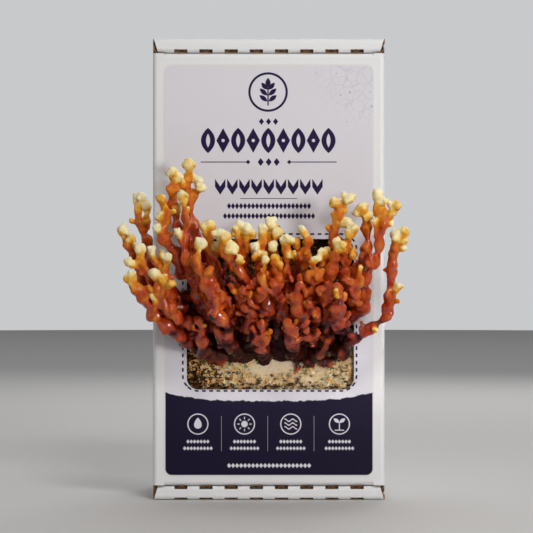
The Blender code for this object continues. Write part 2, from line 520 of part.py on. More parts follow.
def make_carton():
    carton = wrap_strip()
    carton.name = "carton"
    half_depth = CARTON_DEPTH / 2
    half_width = CARTON_WIDTH / 2
    wall_reach = half_width - BOARD / 2
    trims = []
    joins = [block("back_panel", (-half_width, half_width), (half_depth - BOARD, half_depth), (0, CARTON_HEIGHT))]
    for turn in (lambda height: height, lambda height: CARTON_HEIGHT - height):
        beyond = sorted((turn(-1.0), turn(LID_EDGE)))
        lid_depth = (-half_depth - 1, BOARD - half_depth)
        trims.append(block("lid_trim", (-half_width - 1, half_width + 1), lid_depth, beyond))
        tuck_side = (half_width - BOARD - 3.8, half_width - BOARD - LAYER_GAP)
        tuck_depth = (BOARD - half_depth, TUCK_DEPTH - half_depth + BOARD)
        trims.append(block("tuck_trim", tuck_side, tuck_depth, beyond))
        for side in (-1, 1):
            across = sorted((side * wall_reach, side * (half_width - CORNER_FLAP_REACH)))
            low = BOARD + LAYER_GAP
            heights = sorted((turn(low), turn(low + BOARD)))
            depth = (BOARD + WALL_FRONT_SETBACK - half_depth, half_depth - BOARD - 2)
            joins.append(block("corner_flap", across, depth, heights))
        heights = sorted((turn(LID_EDGE), turn(LID_EDGE + BOARD)))
        across = (DUST_FLAP_INSET - half_width, half_width - DUST_FLAP_INSET)
        depth = (BOARD / 2 - half_depth, DUST_FLAP_DEPTH - half_depth)
        joins.append(block("dust_flap", across, depth, heights))
        joins.append(end_strip("end_wall", turn))
    window = rounded_rectangle(WINDOW_LEFT, WINDOW_RIGHT, WINDOW_LOW, WINDOW_HIGH, WINDOW_CORNER)
    trims.append(prism("window_cut", window, -half_depth - 5, 2 * BOARD - half_depth, "Y"))
    combine(carton, trims, "DIFFERENCE")
    combine(carton, joins, "UNION")
    return carton


def make_label():
    front = -CARTON_DEPTH / 2 - LAYER_GAP
    outline = rounded_rectangle(-LABEL_HALF_WIDTH, LABEL_HALF_WIDTH, LABEL_LOW, LABEL_HIGH, LABEL_CORNER)
    label = prism("label", outline, front - LABEL_THICKNESS, front, "Y")
    window = rounded_rectangle(WINDOW_LEFT, WINDOW_RIGHT, WINDOW_LOW, WINDOW_HIGH, WINDOW_CORNER)
    combine(label, [prism("window_cut", window, front - 5, front + 5, "Y")], "DIFFERENCE")
    return label


def ramp(value):
    """Smooth step from 0 to 1."""
    limited = np.clip(value, 0.0, 1.0)
    return limited * limited * (3.0 - 2.0 * limited)


def lumps(x, z):
    """A smooth uneven relief between about -1 and 1, made of crossed waves."""
    first = np.sin(x / 5.3 + 1.3 * np.sin(z / 9.1)) * np.sin(z / 4.7 + 0.8 * np.sin(x / 7.9) + 0.6)
    second = np.sin(x / 11.7 - z / 13.9 + 2.0) * np.sin(z / 8.3 + x / 17.0)
    return 0.55 * first + 0.45 * second


def block_face_out(x, z):
    """How far in front of the lid the block's front face lies: it leans back up the window."""
    bulge = BLOCK_BULGE * ramp((z - WINDOW_LOW) / 8.0) * ramp((WINDOW_RIGHT - 4 - np.abs(x)) / 8.0)
    recess = BLOCK_RECESS * ramp((z - 95.0) / 70.0)
    return -BLOCK_FACE - BOARD / 4 + bulge - recess


def make_substrate_block():
    """A rounded block of sawdust; its faces are grids whose points are moved into lumps."""
    edit = bmesh.new()
    bmesh.ops.create_cube(edit, size=2.0)
    for axis, rows in enumerate(BLOCK_ROWS):
        edges = []
        for edge in edit.edges:
            step = edge.verts[1].co - edge.verts[0].co
            if abs(step[axis]) > 1e-6:
                edges.append(edge)
        bmesh.ops.subdivide_edges(edit, edges=edges, cuts=rows - 1, use_grid_fill=True)
    low = np.array([BLOCK_LEFT, CARTON_DEPTH / -2, BLOCK_LOW])
    high = np.array([BLOCK_RIGHT, BLOCK_BACK, BLOCK_HIGH])
    unit = np.array([vertex.co[:] for vertex in edit.verts])
    points = low + (unit + 1.0) / 2.0 * (high - low)
    # corners seen from above are rounded, and so is the top edge
    core_low = low[:2] + BLOCK_CORNER
    core_high = high[:2] - BLOCK_CORNER
    core = np.clip(points[:, :2], core_low, core_high)
    offset = points[:, :2] - core
    length = np.maximum(np.linalg.norm(offset, axis=1), 1e-9)
    farthest = np.maximum(np.abs(offset[:, 0]), np.abs(offset[:, 1]))
    points[:, :2] = core + offset * (farthest / length)[:, None]
    front = -CARTON_DEPTH / 2 - block_face_out(points[:, 0], points[:, 2])
    depth_share = (points[:, 1] - low[1]) / (high[1] - low[1])
    points[:, 1] = front + depth_share * (high[1] - front)
    relief = BLOCK_LUMP * (lumps(points[:, 0], points[:, 2]) - 1.0) * (1.0 - depth_share)
    points[:, 1] -= relief
    top = ramp((unit[:, 2] - 0.9) / 0.1)
    points[:, 2] -= top * (4.0 + 2.0 * lumps(points[:, 0], points[:, 1]))
    for vertex, point in zip(edit.verts, points):
        vertex.co = [MM * value for value in point]
    mesh = bpy.data.meshes.new("substrate_block")
    edit.to_mesh(mesh)
    edit.free()
    face_outwards(mesh)
    return helper("substrate_block", mesh)


def make_root_crust(substrate):
    """The fused red base: a lobed cushion on the block's face, thin at its edge."""
    angle = np.linspace(0.0, 2.0 * np.pi, CRUST_SPOKES, endpoint=False)
    lobes = 1.0 + 0.07 * np.sin(5 * angle + 0.5) + 0.05 * np.sin(9 * angle + 2.0)
    points = []
    for layer in ("front", "back"):
        for ring in range(1, CRUST_RINGS + 1):
            share = ring / CRUST_RINGS
            x = CRUST_CENTRE[0] + CRUST_HALF_WIDTH * share * lobes * np.cos(angle)
            z = CRUST_CENTRE[1] + CRUST_HALF_HEIGHT * share * lobes * np.sin(angle)
            x = np.clip(x, WINDOW_LEFT + 1.5, WINDOW_RIGHT - 1.5)
            out = block_face_out(x, z)
            if layer == "front":
                out = out + CRUST_THICKNESS * (1.0 - share ** 4) + 1.4 * lumps(3 * x, 3 * z) * (1 - share) + 0.8
            else:
                out = out - 6.0
            points += list(zip(x, -CARTON_DEPTH / 2 - out, z))
    points.append(crust_middle(CRUST_THICKNESS))
    points.append(crust_middle(-6.0))
    mesh = new_mesh("root_crust", points, crust_faces())
    face_outwards(mesh)
    crust = helper("root_crust", mesh)
    combine(crust, [grown_copy(substrate, CUTTER_GROWTH)], "DIFFERENCE")
    keep_largest(crust)
    return crust


def crust_middle(height):
    x, z = CRUST_CENTRE
    return (x, -CARTON_DEPTH / 2 - float(block_face_out(x, z)) - height, z)


def crust_faces():
    count = CRUST_SPOKES
    back = CRUST_RINGS * count
    middle_front = 2 * back
    middle_back = middle_front + 1
    faces = []
    for spoke in range(count):
        following = (spoke + 1) % count
        faces.append((middle_front, spoke, following))
        faces.append((middle_back, back + following, back + spoke))
        for ring in range(CRUST_RINGS - 1):
            inner = ring * count
            outer = inner + count
            faces.append((inner + spoke, outer + spoke, outer + following, inner + following))
            faces.append((back + inner + following, back + outer + following, back + outer + spoke,
                          back + inner + spoke))
        rim = (CRUST_RINGS - 1) * count
        faces.append((rim + spoke, back + rim + spoke, back + rim + following, rim + following))
    return faces


def smooth_route(guides, step=ROUTE_STEP):
    """A Catmull-Rom curve through guide points, with a sample about every step."""
    guide = np.array(guides, float)
    padded = np.vstack([2 * guide[0] - guide[1], guide, 2 * guide[-1] - guide[-2]])
    samples = []
    for index in range(1, len(padded) - 2):
        start, end = padded[index], padded[index + 1]
        leave = (end - padded[index - 1]) / 2
        arrive = (padded[index + 2] - start) / 2
        count = max(1, int(math.ceil(np.linalg.norm((end - start)[:3]) / step)))
        share = (np.arange(count) / count)[:, None]
        cubic = share ** 3
        square = share ** 2
        samples.append((2 * cubic - 3 * square + 1) * start + (cubic - 2 * square + share) * leave
                       + (3 * square - 2 * cubic) * end + (cubic - square) * arrive)
    samples.append(padded[-2:-1])
    return np.vstack(samples)


def antler_routes():
    """Every antler's strands as arrays of (x, out, z, radius), moved apart where they would touch."""
    routes = {}
    for name, strands in ANTLERS.items():
        stem = strands[0]
        x, out, z, radius = stem[0]
        buried = (x, out - ROOT_BURIED, z - 1.0, radius)
        routes[name] = [smooth_route([buried] + list(stem))]
        routes[name] += [smooth_route(fork) for fork in strands[1:]]
    space_apart(routes)
    return routes


def space_apart(routes):
    """Moves samples of different antlers apart, mostly towards or away from the lid.

    Every round finds how far each sample is pushed by samples of other antlers that are
    too near, shares the push over its own antler, and keeps clear of the lid.
    """
    owners, samples, freedom = [], [], []
    for number, strands in enumerate(routes.values()):
        root = strands[0][0, :3]
        for strand in strands:
            samples.append(strand)
            owners.append(np.full(len(strand), number))
            away = np.linalg.norm(strand[:, :3] - root, axis=1) - ROOT_BURIED
            freedom.append(ramp(away / ROOT_LENGTH))
    owners = np.concatenate(owners)
    freedom = np.concatenate(freedom)[:, None]
    stacked = np.vstack(samples)
    place, radius = stacked[:, :3].copy(), stacked[:, 3]
    apart = place[:, None, :] - place[None, :, :]
    distance = np.sqrt(np.sum(apart * apart, axis=2))
    same = owners[:, None] == owners[None, :]
    share = np.where(same, np.exp(-(distance / SPACING_REACH) ** 2), 0.0)
    share *= PUSH_SPREAD / np.sqrt(share.sum(axis=1))[:, None] / np.sqrt(share.sum(axis=1))[None, :]
    first, second = np.nonzero(~same & (distance < NEIGHBOUR_REACH))
    need_below = radius[first] + radius[second] + SPACE_BETWEEN
    weight = np.array([SIDEWAYS_SHARE, 1.0, SIDEWAYS_SHARE])
    tie = np.where(owners[first] > owners[second], 0.05, -0.05)
    for _ in range(SPACING_ROUNDS):
        apart = place[first] - place[second]
        need = np.maximum(need_below - np.sqrt(np.sum(apart * apart, axis=1)), 0.0)
        way = apart * weight
        way[:, 1] += tie
        way *= (need / np.maximum(np.linalg.norm(way, axis=1), 1e-6))[:, None]
        push = np.stack([np.bincount(first, way[:, axis], len(place)) for axis in range(3)], axis=1)
        strongest = np.zeros(len(place))
        np.maximum.at(strongest, first, need)
        push *= (0.6 * strongest / np.maximum(np.linalg.norm(push, axis=1), 1e-6))[:, None]
        place += (share @ (push * freedom)) * freedom
        keep_off_lid(place, radius)
    start = 0
    for strands in routes.values():
        for strand in strands:
            strand[:, :3] = place[start:start + len(strand)]
            start += len(strand)


def keep_off_lid(place, radius):
    """Outside the window, no antler comes nearer to the lid than its own radius."""
    x, z = place[:, 0], place[:, 2]
    beside = np.maximum(WINDOW_LEFT - x, x - WINDOW_RIGHT)
    above = np.maximum(WINDOW_LOW - z, z - WINDOW_HIGH)
    outside = np.maximum(beside, above) + radius + 1.5
    least = np.where(outside > 0, radius + 2.0, -50.0)
    place[:, 1] = np.maximum(place[:, 1], least)


def tube_mesh(name, strands):
    """Closed tubes with round ends along every strand, still to be fused."""
    points = []
    faces = []
    for strand in strands:
        base = len(points)
        centre = np.stack([strand[:, 0], -CARTON_DEPTH / 2 - strand[:, 1], strand[:, 2]], axis=1)
        radius = strand[:, 3]
        heading = np.gradient(centre, axis=0)
        heading /= np.linalg.norm(heading, axis=1)[:, None]
        ring_centres, ring_radii, headings = round_ends(centre, radius, heading)
        side = np.cross(headings, np.array([0.31, 0.22, 0.92]))
        side /= np.linalg.norm(side, axis=1)[:, None]
        across = np.cross(headings, side)
        angle = np.linspace(0, 2 * np.pi, TUBE_SIDES, endpoint=False)
        circle = side[:, None, :] * np.cos(angle)[None, :, None] + across[:, None, :] * np.sin(angle)[None, :, None]
        rings = ring_centres[:, None, :] + ring_radii[:, None, None] * circle
        points += [tuple(point) for point in rings.reshape(-1, 3)]
        count = len(ring_centres)
        for ring in range(count - 1):
            for corner in range(TUBE_SIDES):
                following = (corner + 1) % TUBE_SIDES
                low = base + ring * TUBE_SIDES
                high = low + TUBE_SIDES
                faces.append((low + corner, low + following, high + following, high + corner))
        faces.append(tuple(base + corner for corner in range(TUBE_SIDES))[::-1])
        last = base + (count - 1) * TUBE_SIDES
        faces.append(tuple(last + corner for corner in range(TUBE_SIDES)))
    mesh = new_mesh(name, points, faces)
    face_outwards(mesh)
    return mesh


def round_ends(centre, radius, heading):
    """Adds the rings of a dome at both ends of a tube."""
    shares = np.array([0.3, 0.65, 0.9])
    low_centres = centre[0] - heading[0] * (radius[0] * shares[::-1])[:, None]
    high_centres = centre[-1] + heading[-1] * (radius[-1] * shares)[:, None]
    squeeze = np.sqrt(1 - shares ** 2)
    centres = np.vstack([low_centres, centre, high_centres])
    radii = np.concatenate([radius[0] * squeeze[::-1], radius, radius[-1] * squeeze])
    headings = np.vstack([np.repeat(heading[:1], 3, axis=0), heading, np.repeat(heading[-1:], 3, axis=0)])
    return centres, radii, headings


def grown_copy(piece, distance):
    """A cutter: the piece's mesh with every point moved out along its normal."""
    mesh = piece.data.copy()
    normals = np.zeros(3 * len(mesh.vertices))
    places = np.zeros(3 * len(mesh.vertices))
    mesh.vertex_normals.foreach_get("vector", normals)
    mesh.vertices.foreach_get("co", places)
    mesh.vertices.foreach_set("co", places + normals * distance * MM)
    mesh.update()
    return helper("cutter", mesh)


def keep_largest(piece):
    """Drops the small pieces that a cut left behind."""
    edit = bmesh.new()
    edit.from_mesh(piece.data)
    unseen = set(edit.verts)
    groups = []
    while unseen:
        front = [unseen.pop()]
        group = list(front)
        while front:
            for edge in front.pop().link_edges:
                for vertex in edge.verts:
                    if vertex in unseen:
                        unseen.remove(vertex)
                        front.append(vertex)
                        group.append(vertex)
        groups.append(group)
    groups.sort(key=len, reverse=True)
    for group in groups[1:]:
        bmesh.ops.delete(edit, geom=group, context="VERTS")
    bmesh.ops.triangulate(edit, faces=edit.faces)
    edit.to_mesh(piece.data)
    edit.free()


def fused_antler(name, strands):
    """One antler: its strands fused in one closed surface."""
    piece = helper(name, tube_mesh(name, strands))
    remesh = piece.modifiers.new("fuse", "REMESH")
    remesh.mode = "VOXEL"
    remesh.voxel_size = FUSE_VOXEL * MM
    settle(piece)
    return piece


def thin_out(piece, strands):
    """Leaves few faces, as many as the strands' length asks for."""
    length = sum(float(np.linalg.norm(np.diff(strand[:, :3], axis=0), axis=1).sum()) for strand in strands)
    wanted = max(LEAST_TRIANGLES, TRIANGLES_PER_MM * length)
    triangles = sum(len(face.vertices) - 2 for face in piece.data.polygons)
    thin = piece.modifiers.new("thin", "DECIMATE")
    thin.ratio = wanted / triangles
    thin.use_collapse_triangulate = True
    settle(piece)


def surface_tree(piece):
    places = [vertex.co for vertex in piece.data.vertices]
    return BVHTree.FromPolygons(places, [tuple(face.vertices) for face in piece.data.polygons])


def cut_back(antler, neighbours, growth):
    """Cuts an antler back where it comes nearer to a neighbour than the growth.

    The exact solver leaves open edges on these dense uneven surfaces, so the manifold one cuts them.
    """
    for neighbour in neighbours:
        cutter = grown_copy(neighbour, growth)
        if surface_tree(antler).overlap(surface_tree(cutter)):
            combine(antler, [cutter], "DIFFERENCE", solver="MANIFOLD")
            keep_largest(antler)
        else:
            bpy.data.objects.remove(cutter, do_unlink=True)


def make_antlers(crust, substrate):
    """Antlers in order; each is cut back where it meets the crust or an antler made before it."""
    made = [crust, substrate]
    antlers = []
    for name, strands in antler_routes().items():
        antler = fused_antler(name, strands)
        cut_back(antler, made, CUTTER_GROWTH)
        thin_out(antler, strands)
        cut_back(antler, made, CONTACT_GAP)
        made.append(antler)
        antlers.append(antler)
    return antlers


def show(piece, material, smooth=False):
    piece.hide_render = False
    piece.display_type = "TEXTURED"
    piece.data.materials.clear()
    piece.data.materials.append(material)
    if smooth:
        piece.data.shade_smooth()


def main():
    clear_scene()
    show(make_carton(), finish("white_board", (0.86, 0.86, 0.86), 0.45))
    show(make_label(), finish("label_paper", (0.78, 0.77, 0.81), 0.5))
    substrate = make_substrate_block()
    crust = make_root_crust(substrate)
    show(substrate, finish("sawdust_mycelium", (0.55, 0.42, 0.27), 0.9), smooth=True)
    show(crust, finish("red_crust", (0.16, 0.03, 0.015), 0.35), smooth=True)
    lacquer = finish("reishi_lacquer", (0.42, 0.09, 0.025), 0.3)
    for antler in make_antlers(crust, substrate):
        show(antler, lacquer, smooth=True)


main()
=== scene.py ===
"""Looks of a reishi mushroom grow kit, laid out as a Blender add-on and run as a script.

A white corrugated mailer carton stands on one short end. A paper label covers its lid, and a
window cut through both shows the substrate block. A cluster of antler-shaped reishi has grown
out of the block through the window: cream knobs on golden necks, over lacquered red stems.

Places and sizes in the functions are in millimetres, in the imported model's own frame: +Z is up,
the lid faces -Y, and "out" is the distance in front of the lid. Settings are in metres.
"""

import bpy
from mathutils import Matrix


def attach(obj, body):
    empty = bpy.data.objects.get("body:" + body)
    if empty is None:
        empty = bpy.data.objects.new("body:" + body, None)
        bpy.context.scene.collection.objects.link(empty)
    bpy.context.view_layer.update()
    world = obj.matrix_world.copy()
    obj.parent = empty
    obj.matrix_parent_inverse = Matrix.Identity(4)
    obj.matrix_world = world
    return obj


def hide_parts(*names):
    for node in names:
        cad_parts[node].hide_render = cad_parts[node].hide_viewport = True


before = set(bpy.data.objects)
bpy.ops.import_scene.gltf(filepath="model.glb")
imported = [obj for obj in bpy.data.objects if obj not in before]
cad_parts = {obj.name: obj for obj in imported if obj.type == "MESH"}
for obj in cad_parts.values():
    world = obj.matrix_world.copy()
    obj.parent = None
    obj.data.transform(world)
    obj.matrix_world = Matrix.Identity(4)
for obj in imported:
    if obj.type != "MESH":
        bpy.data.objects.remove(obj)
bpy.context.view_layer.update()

import itertools
import math

import bmesh
import bpy
import numpy as np
from bpy.props import FloatProperty, FloatVectorProperty, PointerProperty

bl_info = {
    "name": "Reishi grow kit",
    "version": (1, 0, 0),
    "blender": (4, 5, 0),
    "location": "View3D > Sidebar > Grow kit",
    "description": "Builds a carton, its label, a substrate block and the reishi grown out of it",
    "category": "Add Mesh",
}

MM = 0.001

# Carton: one folded sheet, with the lid's outer face at FACE
FACE = -50.0
RIM_HEIGHT = 9.0
RIM_SETBACK = 1.0
RIM_MITRE = 3.3
LID_EDGE = 9.5
LID_END_SETBACK = 7.5
WALL_FRONT_SETBACK = 8.6
TUCK_SLANT = 4.4
TUCK_OUTSET = 1.0
TUCK_DEPTH = 30.0
TUCK_KNEE = 9.0
CORNER_FLAP_REACH = 45.0
CORNER_FLAP_FRONT = 4.6
DUST_FLAP_DEPTH = 32.0
FLAP_RISE = 9.0
END_WALL_RETURN = 8.0
LAYER_GAP = 0.3
SLIT_CENTRES = (8.2, 24.6, 41.0, 57.4)
SLIT_LENGTH = 8.6
SLIT_WIDTH = 2.1
FOLD_STEPS = 8
FLUTE_PITCH = 6.5
OVERSHOOT = 1.0
OUTSIDE, INSIDE, RAW = 0, 1, 2

# Window and label
WINDOW = (-53.4, 55.3, 71.8, 169.7)
WINDOW_CORNER = 7.5
LABEL_HALF_WIDTH = 68.2
LABEL_LOW = 15.4
LABEL_HIGH = 283.2
LABEL_CORNER = 5.0
LABEL_THICKNESS = 0.18
LABEL_GAP = 0.06
SPORE_SIZE = 6.0

# Substrate block behind the window
BLOCK_LEFT, BLOCK_RIGHT = -71.0, 68.5
BLOCK_LOW, BLOCK_HIGH = 12.6, 262.0
BLOCK_BACK = 46.6
BLOCK_FACE = 4.0
BLOCK_BULGE = 1.4
BLOCK_LEDGE = 3.2
BLOCK_RECESS = 12.0
BLOCK_CORNER = 12.0
BLOCK_LUMP = 0.9
BLOCK_STEP = 0.56
STRIP_TOP = 97.0
CHIPS, CHIPS_IN_STRIP = 2600, 1800

# Red crust that the antlers rise from
CRUST_CENTRE = (1.0, 117.0)
CRUST_HALF_WIDTH = 50.0
CRUST_HALF_HEIGHT = 26.5
CRUST_THICKNESS = 6.0
CRUST_UNDERSIDE = -5.0

# Antlers: how their routes are spaced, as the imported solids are
SPACE_BETWEEN = 1.3
ROUTE_STEP = 3.5
ROOT_LENGTH = 16.0
ROOT_BURIED = 9.0
SPACING_ROUNDS = 90
SPACING_REACH = 9.0
NEIGHBOUR_REACH = 26.0
PUSH_SPREAD = 1.4
PUSH_STRENGTH = 0.6
SIDEWAYS_SHARE = 0.35
TINY = 1e-6

# Antlers: their skin
SKIN_STEP = 0.9
SKIN_SIDES = 14
SKIN_FLATNESS = 0.2
SKIN_RIDGES = 0.09
AGE_SPAN = 100.0
BUD_SPACING = 12.0
LINK_CHANCE = 0.3
LINK_LOW, LINK_HIGH = 97.0, 134.0
POINTS_AT_ONCE = 4000

